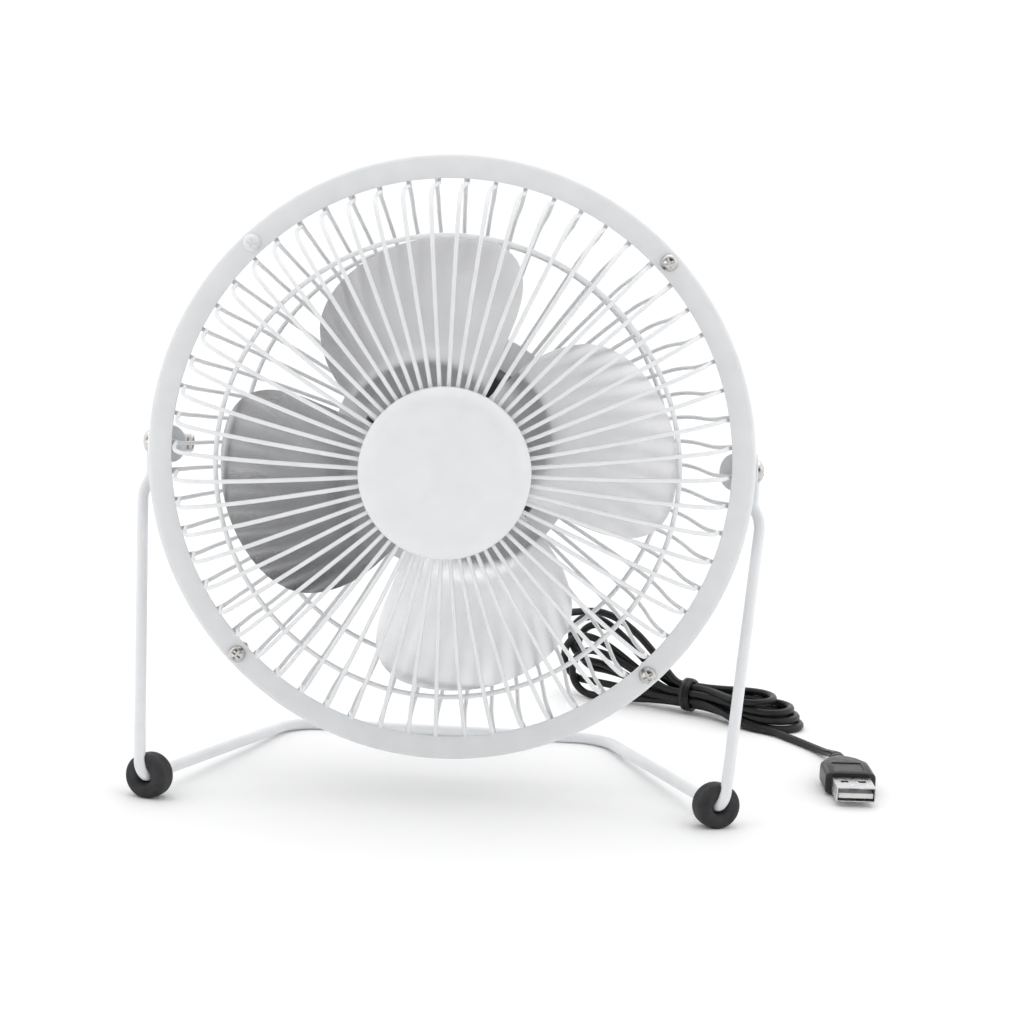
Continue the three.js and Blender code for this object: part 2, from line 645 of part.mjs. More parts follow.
// The hank's own frame, on the floor under the tie: x towards its left end, y up, z level.
function hankFrame() {
  const along = new THREE.Vector3(Math.cos(HANK_HEADING), Math.sin(HANK_HEADING), 0);
  const up = new THREE.Vector3(0, 0, 1);
  return new THREE.Matrix4().makeBasis(along, up, along.clone().cross(up)).setPosition(...TIE_PLACE, 0);
}

function outlineShape(corners) {
  return new THREE.Shape(corners.map(([x, y]) => new THREE.Vector2(x, y)));
}

// Where the hank's outline from the side meets its outline from above.
function hank() {
  const low = TIE_HEIGHT - HANK_WAIST;
  const high = TIE_HEIGHT + HANK_WAIST;
  const side = outlineShape([
    [-42, 0.1], [-8, 0.1], [-5, low], [5, low], [8, 0.1], [42, 0.1], [47.5, 3], [49, 8], [49, 19], [46.5, 25.5],
    [40, 28.4], [33, 28.4], [9, 11.2], [9, 15.6], [6.5, 15.6], [5, high], [-5, high], [-26, 10.6], [-29, 8.2],
    [-42, 5.4],
  ]);
  const above = outlineShape([
    [-5, HANK_WAIST], [-30, 9.2], [-37, 8], [-41, 4], [-41.6, 0], [-41, -4], [-39, -8], [-36.7, -9.8],
    [-35.3, -12.6], [-31, -12], [-5, -HANK_WAIST], [5, -HANK_WAIST], [12, -5.6], [46, -5.6], [49, -3], [49, 3],
    [46, 5.6], [12, 5.6], [5, HANK_WAIST],
  ]);
  const tall = 40;
  const fromSide = new THREE.ExtrudeGeometry(side, { depth: tall, bevelEnabled: false });
  const fromAbove = new THREE.ExtrudeGeometry(above, { depth: tall, bevelEnabled: false });
  fromSide.translate(0, 0, -tall / 2);
  fromAbove.translate(0, 0, -tall).rotateX(Math.PI / 2);
  const body = toGeometry(toSolid(fromSide).intersect(toSolid(fromAbove)));
  add(base, 'cord_hank', body.applyMatrix4(hankFrame()), blackPlastic());
}

// A flat band of the same cord round the hank's waist.
function cordTie() {
  const inner = HANK_WAIST + GAP;
  const square = (half) => [[-half, -half], [half, -half], [half, half], [-half, half]];
  const band = outlineShape(square(inner + TIE_BAND));
  band.holes.push(outlineShape(square(inner).reverse()));
  const tie = new THREE.ExtrudeGeometry(band, { depth: TIE_WIDTH, bevelEnabled: false });
  tie.translate(0, 0, -TIE_WIDTH / 2).rotateY(Math.PI / 2).translate(0, TIE_HEIGHT, 0);
  add(base, 'cord_tie', tie.applyMatrix4(hankFrame()), blackPlastic());
}

// A USB plug. Its own axes: x forward out of the shell, y across, z up.
function plug() {
  const group = new THREE.Group();
  group.position.set(...PLUG_BACK);
  group.rotation.z = PLUG_YAW;
  base.add(group);

  const outline = new THREE.Shape();
  outline.moveTo(0, -1.9);
  outline.lineTo(8, -3.2);
  outline.lineTo(9, -4.4);
  outline.lineTo(13, -5.6);
  outline.lineTo(17, -7.7);
  outline.lineTo(31, -7.9);
  outline.lineTo(31, 7.9);
  outline.lineTo(17, 7.7);
  outline.lineTo(13, 5.6);
  outline.lineTo(9, 4.4);
  outline.lineTo(8, 3.2);
  outline.lineTo(0, 1.9);
  const fromAbove = new THREE.ExtrudeGeometry(outline, { depth: 12, bevelEnabled: false }).translate(0, 0, -6);
  const side = new THREE.Shape();
  side.moveTo(0, -1.9);
  side.lineTo(8, -2.6);
  side.lineTo(11, -3.7);
  side.lineTo(31, -3.7);
  side.lineTo(31, 3.7);
  side.lineTo(11, 3.7);
  side.lineTo(8, 2.6);
  side.lineTo(0, 1.9);
  const fromSide = new THREE.ExtrudeGeometry(side, { depth: 20, bevelEnabled: false })
    .translate(0, 0, -10).rotateX(Math.PI / 2);
  const whole = toGeometry(toSolid(fromAbove).intersect(toSolid(fromSide)));
  const socket = block([24, -6, -2.25], [32, 6, 2.25]);
  add(group, 'plug_body', cut(whole, socket), blackPlastic());

  const shellOuter = block([25, -6 + GAP, -2.25 + GAP], [43, 6 - GAP, 2.25 - GAP]);
  const shellInner = block([24.6, -5.3, -1.6], [44, 5.3, 1.6]);
  const windows = [-1, 1].map((way) => block([35, way * 2.8 - 1.1, -4], [37.4, way * 2.8 + 1.1, 4]));
  add(group, 'plug_shell', cut(shellOuter, shellInner, ...windows), brightSteel());
  add(group, 'plug_tongue', block([25, -4.9, -1.25], [42, 4.9, 0.1]), whitePlastic());
}

// ---------------------------------------------------------------- assembly

rims();
guards();
cap();
rimFasteners();
pivots();
impeller();
motor();
housings();
rearPlateHoles();
powerSwitch();
stand();
for (const [name, side] of SIDES) foot(`foot_${name}`, side);
grommet();
leads();
hank();
cordTie();
plug();

export default fan;
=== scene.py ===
"""Desk fan: the visible model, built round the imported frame.

Lengths are in millimetres until a piece is made.
"""

import json
import math

import bmesh
import bpy
import numpy as np
from mathutils import Matrix, Vector


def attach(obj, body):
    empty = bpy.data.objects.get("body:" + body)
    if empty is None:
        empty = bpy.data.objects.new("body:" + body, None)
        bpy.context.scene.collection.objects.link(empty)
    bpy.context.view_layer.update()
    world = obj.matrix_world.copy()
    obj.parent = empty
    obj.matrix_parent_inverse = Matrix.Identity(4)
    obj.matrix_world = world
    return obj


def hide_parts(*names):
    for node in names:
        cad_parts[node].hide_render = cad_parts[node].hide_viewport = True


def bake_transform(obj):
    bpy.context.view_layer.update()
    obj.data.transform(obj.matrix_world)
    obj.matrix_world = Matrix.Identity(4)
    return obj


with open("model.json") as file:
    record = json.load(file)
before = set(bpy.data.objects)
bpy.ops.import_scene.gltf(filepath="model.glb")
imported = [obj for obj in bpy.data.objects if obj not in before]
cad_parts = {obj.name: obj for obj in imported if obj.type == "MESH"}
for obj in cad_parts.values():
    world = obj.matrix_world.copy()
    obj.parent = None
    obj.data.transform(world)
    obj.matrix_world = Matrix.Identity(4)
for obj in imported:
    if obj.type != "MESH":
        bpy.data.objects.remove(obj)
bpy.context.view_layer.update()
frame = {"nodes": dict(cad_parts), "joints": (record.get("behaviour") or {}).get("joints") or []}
joints = {joint["name"]: joint for joint in frame["joints"]}

# ---------------- frames

PIVOT = Vector(joints["head_tilt"]["pos_m"])
BLOW = Vector(joints["impeller_spin"]["axis"])
TILT = math.asin(BLOW.z)
MM = Matrix.Scale(0.001, 4)
BASE = Matrix.Translation((0, PIVOT.y, 0)) @ MM  # millimetres, from the floor under the pivots
HEAD = Matrix.Translation(PIVOT) @ Matrix.Rotation(math.pi / 2 - TILT, 4, "X") @ MM
PIVOT_HEIGHT = PIVOT.z * 1000

RIM_FRONT = 11.5
RIM_RADIUS = 92.5
RIM_INNER = 85.2
SKIRT_BACK = RIM_FRONT - 5.6
SHEET = 0.9
SPOKES = 60
WIRE = 0.65
SCREW_RING = 89
RIM_SCREW_TURNS = [math.pi / 4 + k * math.pi / 2 for k in range(4)]
REAR_FACE = -32  # the rear cover's outer face
COVER_SCREW_RING = 24
COVER_SCREW_TURNS = [math.pi / 2 + k * 2 * math.pi / 3 for k in range(3)]
SWITCH_Y = 7
GROMMET_Z = -24.5
PIVOT_HOLE = 2.25

# ---------------- camera

AZIMUTH = math.radians(1.72)
ELEVATION = math.radians(11.29)
ROLL = math.radians(-2.58)
DISTANCE = 1.0
LOOK_RIGHT = 0.01887
LOOK_HEIGHT = 0.08338
FOCAL_PX = 3247.8
FRAME_PX = 1024
SENSOR_MM = 36


def make_camera():
    ca, sa = math.cos(AZIMUTH), math.sin(AZIMUTH)
    ce, se = math.cos(ELEVATION), math.sin(ELEVATION)
    back = Vector((sa * ce, -ca * ce, se))
    right = Vector((ca, sa, 0))
    up = back.cross(right)
    image_right = right * math.cos(ROLL) - up * math.sin(ROLL)
    image_up = up * math.cos(ROLL) + right * math.sin(ROLL)
    look = right * LOOK_RIGHT + Vector((0, PIVOT.y, LOOK_HEIGHT))
    data = bpy.data.cameras.new("camera")
    data.sensor_width = SENSOR_MM
    data.lens = FOCAL_PX * SENSOR_MM / FRAME_PX
    data.clip_start = 0.05
    data.clip_end = 20
    camera = bpy.data.objects.new("camera", data)
    bpy.context.scene.collection.objects.link(camera)
    rotation = Matrix((image_right, image_up, back)).transposed().to_4x4()
    camera.matrix_world = Matrix.Translation(look + back * DISTANCE) @ rotation
    bpy.context.scene.camera = camera


make_camera()

# ---------------- materials


def shader(name, color, roughness, metallic=0.0, **inputs):
    material = bpy.data.materials.new(name)
    material.use_nodes = True
    bsdf = material.node_tree.nodes["Principled BSDF"]
    bsdf.inputs["Base Color"].default_value = (*color, 1)
    bsdf.inputs["Roughness"].default_value = roughness
    bsdf.inputs["Metallic"].default_value = metallic
    for key, value in inputs.items():
        bsdf.inputs[key.replace("_", " ")].default_value = value
    return material


def node(material, kind, **values):
    made = material.node_tree.nodes.new(kind)
    for key, value in values.items():
        if key in made.inputs:
            made.inputs[key].default_value = value
        else:
            setattr(made, key, value)
    return made


def link(material, source, target):
    material.node_tree.links.new(source, target)


def place(material, stretch=(1, 1, 1)):
    """Object coordinates, stretched, for a pattern that stays on the piece."""
    coordinates = node(material, "ShaderNodeTexCoord")
    mapping = node(material, "ShaderNodeMapping", Scale=stretch)
    link(material, coordinates.outputs["Object"], mapping.inputs["Vector"])
    return mapping.outputs["Vector"]


def noise(material, vector, scale, detail=3.0, rough=0.5):
    made = node(material, "ShaderNodeTexNoise", Scale=scale, Detail=detail, Roughness=rough)
    link(material, vector, made.inputs["Vector"])
    return made.outputs["Fac"]


def spread(material, source, low, high, start=0.3, end=0.7):
    made = node(material, "ShaderNodeMapRange")
    made.inputs["From Min"].default_value = start
    made.inputs["From Max"].default_value = end
    made.inputs["To Min"].default_value = low
    made.inputs["To Max"].default_value = high
    link(material, source, made.inputs["Value"])
    return made.outputs["Result"]


def tint(material, source, dark, light):
    ramp = node(material, "ShaderNodeValToRGB")
    ramp.color_ramp.elements[0].position = 0.3
    ramp.color_ramp.elements[0].color = (*dark, 1)
    ramp.color_ramp.elements[1].position = 0.7
    ramp.color_ramp.elements[1].color = (*light, 1)
    link(material, source, ramp.inputs["Fac"])
    bsdf = material.node_tree.nodes["Principled BSDF"]
    link(material, ramp.outputs["Color"], bsdf.inputs["Base Color"])


def bump(material, source, distance, strength=1.0):
    bsdf = material.node_tree.nodes["Principled BSDF"]
    made = node(material, "ShaderNodeBump", Distance=distance, Strength=strength)
    link(material, source, made.inputs["Height"])
    link(material, made.outputs["Normal"], bsdf.inputs["Normal"])


def vary_roughness(material, source, low, high):
    bsdf = material.node_tree.nodes["Principled BSDF"]
    link(material, spread(material, source, low, high), bsdf.inputs["Roughness"])


def enamel(name, dark, light):
    made = shader(name, light, 0.35, Coat_Weight=0.15, Coat_Roughness=0.2)
    vector = place(made)
    tint(made, noise(made, vector, 140), dark, light)
    vary_roughness(made, noise(made, vector, 420), 0.3, 0.42)
    bump(made, noise(made, vector, 1500, 2), 0.00004, 0.35)
    return made


def moulded(name, dark, light, low, high, grain, depth, **inputs):
    made = shader(name, light, (low + high) / 2, **inputs)
    vector = place(made)
    tint(made, noise(made, vector, 260), dark, light)
    vary_roughness(made, noise(made, vector, 500), low, high)
    bump(made, noise(made, vector, grain, 2), depth, 0.5)
    return made


def plated(name, dark, light, low, high):
    made = shader(name, light, low, 1.0)
    vector = place(made)
    tint(made, noise(made, vector, 500), dark, light)
    vary_roughness(made, noise(made, vector, 900), low, high)
    bump(made, noise(made, vector, 2600, 2), 0.00002, 0.4)
    return made


def brushed_sheet():
    """Rolled aluminium: fine straight brushing, slightly cloudy."""
    made = shader("aluminium_sheet", (0.72, 0.72, 0.73), 0.24, 1.0, Anisotropic=0.45)
    fine = noise(made, place(made, (28, 1, 28)), 210, 4, 0.6)
    cloud = noise(made, place(made), 34, 3)
    tint(made, cloud, (0.64, 0.64, 0.65), (0.80, 0.80, 0.81))
    vary_roughness(made, fine, 0.18, 0.3)
    bump(made, fine, 0.00003, 0.5)
    return made


WHITE = enamel("white_enamel", (0.76, 0.775, 0.79), (0.80, 0.81, 0.825))
BRIGHT_WHITE = enamel("white_enamel_wire", (0.78, 0.79, 0.80), (0.83, 0.84, 0.85))
ALUMINIUM = brushed_sheet()
NICKEL = plated("nickel_plate", (0.50, 0.49, 0.48), (0.66, 0.65, 0.63), 0.16, 0.3)
SHELL_STEEL = plated("shell_steel", (0.52, 0.52, 0.53), (0.68, 0.68, 0.69), 0.22, 0.36)
BLACK = moulded("black_moulding", (0.011, 0.011, 0.012), (0.019, 0.019, 0.021), 0.38, 0.52, 1300, 0.00005)
CORD_BLACK = moulded("cord_jacket", (0.005, 0.005, 0.006), (0.010, 0.010, 0.011), 0.32, 0.42, 1800, 0.00003,
                     Specular_IOR_Level=0.32)
RUBBER = moulded("foot_rubber", (0.022, 0.022, 0.024), (0.036, 0.036, 0.038), 0.62, 0.78, 900, 0.00008,
                 Specular_IOR_Level=0.35)
WHITE_PLASTIC = moulded("white_moulding", (0.74, 0.74, 0.72), (0.80, 0.80, 0.78), 0.4, 0.5, 900, 0.00003)
BRONZE = plated("sintered_bronze", (0.36, 0.22, 0.10), (0.55, 0.36, 0.18), 0.4, 0.55)
IRON = plated("lacquered_iron", (0.16, 0.10, 0.07), (0.32, 0.22, 0.15), 0.35, 0.5)
FERRITE = moulded("ferrite", (0.03, 0.03, 0.033), (0.055, 0.055, 0.06), 0.5, 0.65, 1100, 0.00005)

# ---------------- mesh helpers


WELD = 1e-7  # metres


def shade(bm, sharp):
    """Smooth shading, but for edges sharper than the angle."""
    limit = math.radians(sharp)
    for face in bm.faces:
        face.smooth = True
    for edge in bm.edges:
        edge.smooth = len(edge.link_faces) == 2 and edge.calc_face_angle(0) < limit


def finish_mesh(name, bm, matrix, material, body, replaces=(), sharp=35.0):
    """Turns a closed bmesh in the matrix's millimetres into a piece that rides on a body."""
    bmesh.ops.recalc_face_normals(bm, faces=bm.faces)
    bm.transform(matrix)
    shade(bm, sharp)
    mesh = bpy.data.meshes.new(name)
    bm.to_mesh(mesh)
    bm.free()
    piece = bpy.data.objects.new(name, mesh)
    bpy.context.scene.collection.objects.link(piece)
    mesh.materials.append(material)
    if body:
        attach(piece, body)
    if replaces:
        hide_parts(*replaces)
    return piece


def bevel(piece, width, segments=2, angle=30):
    made = piece.modifiers.new("edges", "BEVEL")
    made.width = width * 0.001
    made.segments = segments
    made.limit_method = "ANGLE"
    made.angle_limit = math.radians(angle)
    made.harden_normals = True
    return piece


def polygon(sides, radius, turn=0.0):
    corners = []
    for k in range(sides):
        angle = turn + 2 * math.pi * k / sides
        corners.append((radius * math.cos(angle), radius * math.sin(angle)))
    return corners


def add_lathe(bm, profile, segments, matrix=Matrix()):
    """A turned shape about z from a closed outline of (radius, z); a radius of 0 is a single point."""
    rings = []
    for radius, z in profile:
        if radius < 1e-6:
            rings.append([bm.verts.new(matrix @ Vector((0, 0, z)))])
            continue
        rings.append([bm.verts.new(matrix @ Vector((x, y, z))) for x, y in polygon(segments, radius)])
    for a, b in zip(rings, rings[1:] + rings[:1]):
        if len(a) == 1 and len(b) == 1:
            continue
        for k in range(segments):
            n = (k + 1) % segments
            if len(a) == 1:
                bm.faces.new((a[0], b[n], b[k]))
            elif len(b) == 1:
                bm.faces.new((a[k], a[n], b[0]))
            else:
                bm.faces.new((a[k], a[n], b[n], b[k]))


def lathe(name, profile, segments, matrix, material, body, replaces=(), sharp=35.0):
    bm = bmesh.new()
    add_lathe(bm, profile, segments)
    return finish_mesh(name, bm, matrix, material, body, replaces, sharp)


def rounded(profile, radius, steps=3):
    """The closed outline with its corners rounded, to about that radius."""
    out = []
    count = len(profile)
    for k in range(count):
        here = Vector(profile[k])
        before = Vector(profile[k - 1])
        after = Vector(profile[(k + 1) % count])
        if here.x < 1e-6:
            out.append(tuple(here))
            continue
        a, b = before - here, after - here
        reach = min(radius, a.length * 0.45, b.length * 0.45)
        p, q = here + a.normalized() * reach, here + b.normalized() * reach
        for n in range(steps + 1):
            t = n / steps
            out.append(tuple(p * (1 - t) ** 2 + here * 2 * t * (1 - t) + q * t * t))
    return out


def frames(points):
    """Tangents and twist-free side vectors along a line of points."""
    count = len(points)
    tangents = []
    for k in range(count):
        step = points[min(k + 1, count - 1)] - points[max(k - 1, 0)]
        tangents.append(step.normalized())
    side = tangents[0].orthogonal().normalized()
    sides = []
    for k in range(count):
        side = (side - tangents[k] * side.dot(tangents[k])).normalized()
        sides.append(side)
    return tangents, sides


DOME = ((0.38, 0.9), (0.72, 0.62))  # a domed end's extra rings: (distance, size), in radii


def add_tube(bm, points, radius, sides=8, dome=True):
    """A round bar along points, with domed ends."""
    points = [Vector(p) for p in points]
    tangents, across = frames(points)
    radii = radius if isinstance(radius, list) else [radius] * len(points)
    stations = [(points[k], tangents[k], across[k], radii[k]) for k in range(len(points))]
    if dome:
        first, last = stations[0], stations[-1]
        for push, shrink in DOME:
            stations.insert(0, (first[0] - first[1] * first[3] * push, first[1], first[2], first[3] * shrink))
            stations.append((last[0] + last[1] * last[3] * push, last[1], last[2], last[3] * shrink))
    rings = []
    for centre, tangent, out, size in stations:
        up = tangent.cross(out)
        ring = []
        for k in range(sides):
            angle = 2 * math.pi * k / sides
            ring.append(bm.verts.new(centre + (out * math.cos(angle) + up * math.sin(angle)) * size))
        rings.append(ring)
    for a, b in zip(rings, rings[1:]):
        for k in range(sides):
            n = (k + 1) % sides
            bm.faces.new((a[k], a[n], b[n], b[k]))
    for ring in (rings[0][::-1], rings[-1]):
        bm.faces.new(ring)
    return rings


CURVE_STEPS = 24


def smooth_path(points, count):
    """Evenly spaced points on a centripetal Catmull-Rom curve through the given ones."""
    p = [Vector(q) for q in points]
    p = [p[0] * 2 - p[1]] + p + [p[-1] * 2 - p[-2]]
    dense = []
    for k in range(1, len(p) - 2):
        p0, p1, p2, p3 = p[k - 1 : k + 3]
        t0 = 0.0
        t1 = t0 + max((p1 - p0).length, 1e-6) ** 0.5
        t2 = t1 + max((p2 - p1).length, 1e-6) ** 0.5
        t3 = t2 + max((p3 - p2).length, 1e-6) ** 0.5
        for n in range(CURVE_STEPS):
            t = t1 + (t2 - t1) * n / CURVE_STEPS
            a1 = p0 * ((t1 - t) / (t1 - t0)) + p1 * ((t - t0) / (t1 - t0))
            a2 = p1 * ((t2 - t) / (t2 - t1)) + p2 * ((t - t1) / (t2 - t1))
            a3 = p2 * ((t3 - t) / (t3 - t2)) + p3 * ((t - t2) / (t3 - t2))
            b1 = a1 * ((t2 - t) / (t2 - t0)) + a2 * ((t - t0) / (t2 - t0))
            b2 = a2 * ((t3 - t) / (t3 - t1)) + a3 * ((t - t1) / (t3 - t1))
            dense.append(b1 * ((t2 - t) / (t2 - t1)) + b2 * ((t - t1) / (t2 - t1)))
    dense.append(p[-2])
    lengths = [0.0]
    for a, b in zip(dense, dense[1:]):
        lengths.append(lengths[-1] + (b - a).length)
    wanted = np.linspace(0, lengths[-1], count)
    table = np.array([list(q) for q in dense])
    return [Vector([np.interp(w, lengths, table[:, axis]) for axis in range(3)]) for w in wanted]


def bent_path(corners, radii, arc_steps=10):
    """Straight runs between corners, with an arc at each inner corner."""
    points = [Vector(c) for c in corners]
    stations = [points[0]]
    for k in range(1, len(points) - 1):
        radius = radii[k - 1]
        back = (points[k - 1] - points[k]).normalized()
        ahead = (points[k + 1] - points[k]).normalized()
        half = back.angle(ahead) / 2
        centre = points[k] + (back + ahead).normalized() * (radius / math.sin(half))
        start = points[k] + back * (radius / math.tan(half)) - centre
        end = points[k] + ahead * (radius / math.tan(half)) - centre
        axis = start.cross(end).normalized()
        sweep = start.angle(end)
        for n in range(arc_steps + 1):
            stations.append(centre + Matrix.Rotation(sweep * n / arc_steps, 3, axis) @ start)
    stations.append(points[-1])
    return stations


def add_prism(bm, outline, low, high, matrix=Matrix()):
    """A straight prism along z from an outline of (x, y), without holes."""
    bottom = [bm.verts.new(matrix @ Vector((x, y, low))) for x, y in outline]
    top = [bm.verts.new(matrix @ Vector((x, y, high))) for x, y in outline]
    bm.faces.new(bottom[::-1])
    bm.faces.new(top)
    count = len(outline)
    for k in range(count):
        n = (k + 1) % count
        bm.faces.new((bottom[k], bottom[n], top[n], top[k]))


def add_tunnel_prism(bm, outer, inner, low, high, matrix=Matrix()):
    """A prism along z with one hole: outer and inner outlines have the same number of corners."""
    rings = []
    for outline, z in ((outer, low), (outer, high), (inner, high), (inner, low)):
        rings.append([bm.verts.new(matrix @ Vector((x, y, z))) for x, y in outline])
    count = len(outer)
    for a, b in zip(rings, rings[1:] + rings[:1]):
        for k in range(count):
            n = (k + 1) % count
            bm.faces.new((a[k], a[n], b[n], b[k]))


def rectangle(x0, x1, y0, y1):
    return [(x0, y0), (x1, y0), (x1, y1), (x0, y1)]


def cutter(name, build, matrix=Matrix()):
    """A helper solid for a boolean; it is taken away again once used."""
    bm = bmesh.new()
    build(bm)
    bmesh.ops.recalc_face_normals(bm, faces=bm.faces)
    bm.transform(matrix)
    mesh = bpy.data.meshes.new(name)
    bm.to_mesh(mesh)
    bm.free()
    made = bpy.data.objects.new(name, mesh)
    bpy.context.scene.collection.objects.link(made)
    return made


def carve(piece, tool, operation="DIFFERENCE", sharp=35.0):
    """Cuts the tool from the piece, or joins it on, and keeps the result as plain mesh."""
    modifier = piece.modifiers.new("carve", "BOOLEAN")
    modifier.operation = operation
    modifier.solver = "EXACT"
    modifier.object = tool
    bpy.context.view_layer.update()
    graph = bpy.context.evaluated_depsgraph_get()
    mesh = bpy.data.meshes.new_from_object(piece.evaluated_get(graph))
    piece.modifiers.remove(modifier)
    old = piece.data
    piece.data = mesh
    bpy.data.meshes.remove(old)
    bpy.data.objects.remove(tool)
    bm = bmesh.new()
    bm.from_mesh(mesh)
    bmesh.ops.remove_doubles(bm, verts=bm.verts, dist=WELD)
    bmesh.ops.dissolve_degenerate(bm, edges=bm.edges, dist=WELD)
    shade(bm, sharp)
    bm.to_mesh(mesh)
    bm.free()
    return piece


def cut_below_floor(piece, sharp):
    """Takes off whatever hangs below the floor, so that the piece rests flat on it."""
    def slab(bm):
        add_prism(bm, rectangle(-130, 130, -90, 90), -6, 0.0)
    carve(piece, cutter("under_floor", slab, BASE), sharp=sharp)


def turn_z(angle):
    return Matrix.Rotation(angle, 4, "Z")


def along_x(side):
    """Turns a shape made about z so that it lies along x, pointing to that side."""
    return Matrix.Rotation(side * math.pi / 2, 4, "Y")


# Stands an outline of (y, z) up, for a prism along x.
UPRIGHT = Matrix(((0, 0, 1, 0), (1, 0, 0, 0), (0, 1, 0, 0), (0, 0, 0, 1)))


# ---------------- lead and hank

CORD_RADIUS = 1.25
CORD_STATIONS = 1500
TIE_PLACE = Vector((79, 88, 0))
TIE_HEIGHT = 6.1
TIE_RADIUS = 4.56
HANK_HEADING = math.radians(154.7)
ALONG = Vector((math.cos(HANK_HEADING), math.sin(HANK_HEADING), 0))
ACROSS = Vector((-ALONG.y, ALONG.x, 0)) * -1
PLUG_BACK = Vector((125, 26, 4))
PLUG_YAW = math.radians(-85)
STRAIGHT = 4.0  # how far each strand stays straight beyond the tie's middle
BUNDLE_RING = 3.27
LOOP_WIDTH = 7.6  # half the width of a flat loop

# The nine strands' places in the tied bundle: degrees round it from the level, or None for its middle.
BUNDLE = (112.5, 67.5, 292.5, 247.5, 157.5, 22.5, 337.5, None, 202.5)
# The loops right of the tie lie flat: (reach from the tie, height), from strand 0, 2, 4 and 6 to the next.
FLAT_LOOPS = ((30.0, 8.8), (40.2, 1.3), (36.5, 6.3), (38.6, 3.8))
# The loops left of it stand in a fan: (reach, level, lowest and highest point), from strand 1, 3, 5 and 7.
TALL_LOOPS = (
    (46.0, 1.3, 11.8, 27.2), (42.5, -3.8, 1.35, 16.8), (44.5, 4.3, 8.7, 24.1), (47.0, -1.3, 5.5, 20.9),
)
NOSE_STEPS = 18


def hank_point(along, level, height):
    """A place in the hank: along is the way to its left end, from the floor under the tie."""
    return TIE_PLACE + ALONG * along + ACROSS * level + Vector((0, 0, height))


def ease(t):
    return t * t * (3 - 2 * t)


def strand_place(number):
    turn = BUNDLE[number]
    if turn is None:
        return 0.0, TIE_HEIGHT
    turn = math.radians(turn)
    return BUNDLE_RING * math.cos(turn), TIE_HEIGHT + BUNDLE_RING * math.sin(turn)


def run_out(number, level, height, reach, steps=14):
    """One strand from the tie to where its loop begins, easing out of the bundle."""
    level_0, height_0 = strand_place(number)
    way = 1 if reach > 0 else -1
    points = [hank_point(0, level_0, height_0), hank_point(way * STRAIGHT / 2, level_0, height_0)]
    for k in range(steps):
        t = k / steps
        share = ease(t)
        points.append(hank_point(
            way * STRAIGHT + (reach - way * STRAIGHT) * t,
            level_0 + (level - level_0) * share,
            height_0 + (height - height_0) * share,
        ))
    return points


def flat_loop(number):
    """Strand number runs right, turns round flat on the floor or on the loops under it, and comes back."""
    reach, height = FLAT_LOOPS[number // 2]
    start = -1 if strand_place(number)[0] < strand_place(number + 1)[0] else 1
    centre = LOOP_WIDTH - reach
    out = run_out(number, start * LOOP_WIDTH, height, centre)
    back = run_out(number + 1, -start * LOOP_WIDTH, height, centre)
    nose = []
    for k in range(NOSE_STEPS + 1):
        turn = math.pi * k / NOSE_STEPS
        along, level = centre - LOOP_WIDTH * math.sin(turn), start * LOOP_WIDTH * math.cos(turn)
        nose.append(hank_point(along, level, height))
    return out + nose + back[:0:-1]


def tall_loop(number):
    """Strand number runs left, turns round in an upright loop, and comes back."""
    reach, level, low, high = TALL_LOOPS[number // 2]
    radius = (high - low) / 2
    middle = (high + low) / 2
    start = 1 if strand_place(number)[1] > strand_place(number + 1)[1] else -1
    centre = reach - radius
    out = run_out(number, level, middle + start * radius, centre)
    back = run_out(number + 1, level, middle - start * radius, centre)
    nose = []
    for k in range(NOSE_STEPS + 1):
        turn = math.pi * k / NOSE_STEPS
        along, height = centre + radius * math.sin(turn), middle + start * radius * math.cos(turn)
        nose.append(hank_point(along, level, height))
    return out + nose + back[:0:-1]


def lead_route():
    """The whole lead, from the grommet through the tied hank to the plug."""
    start = BASE.inverted() @ HEAD @ Vector((0, -44.0, GROMMET_Z))
    tip = BASE.inverted() @ HEAD @ Vector((0, -45.3, GROMMET_Z))
    y, z = tip.y, tip.z
    route = [start] + [Vector(p) for p in (
        (0, y, z), (0, y - 0.2, z - 4), (0.6, y + 2, z - 9.5), (3, y + 8, z - 14), (8.5, 41, 36.4),
        (15.5, 56, 34.2), (24.5, 74, 32.6), (34.5, 90, 31.4), (41, 96.5, 31), (47.5, 99.8, 30.4),
        (54, 99.6, 28.2), (60, 97.3, 24.4), (65.2, 94.8, 19.7), (69.6, 92.4, 14.8),
    )]
    route.append(hank_point(5, -0.9, 10.4))
    for number in range(8):
        route += flat_loop(number) if number % 2 == 0 else tall_loop(number)
    route += run_out(8, -10.4, 1.35, -30.0)
    yaw = Vector((math.cos(PLUG_YAW), math.sin(PLUG_YAW), 0))
    route += [Vector(p) for p in (
        (107, 62.2, 1.35), (111.2, 57.1, 1.3), (115.3, 51.4, 1.3), (119.2, 45.2, 1.4), (122.4, 38.8, 1.9),
        (124.2, 32.8, 3.1),
    )]
    return route + [PLUG_BACK - yaw * 2.6, PLUG_BACK + yaw * 2.5]


def make_cord():
    line = smooth_path(lead_route(), CORD_STATIONS)
    length = sum((b - a).length for a, b in zip(line, line[1:]))
    bm = bmesh.new()
    add_tube(bm, line, CORD_RADIUS, 10, dome=False)
    piece = finish_mesh("lead", bm, BASE, CORD_BLACK, None)
    return piece, line, length


cord_piece, cord_line, cord_length = make_cord()

# ---------------- rims and guards


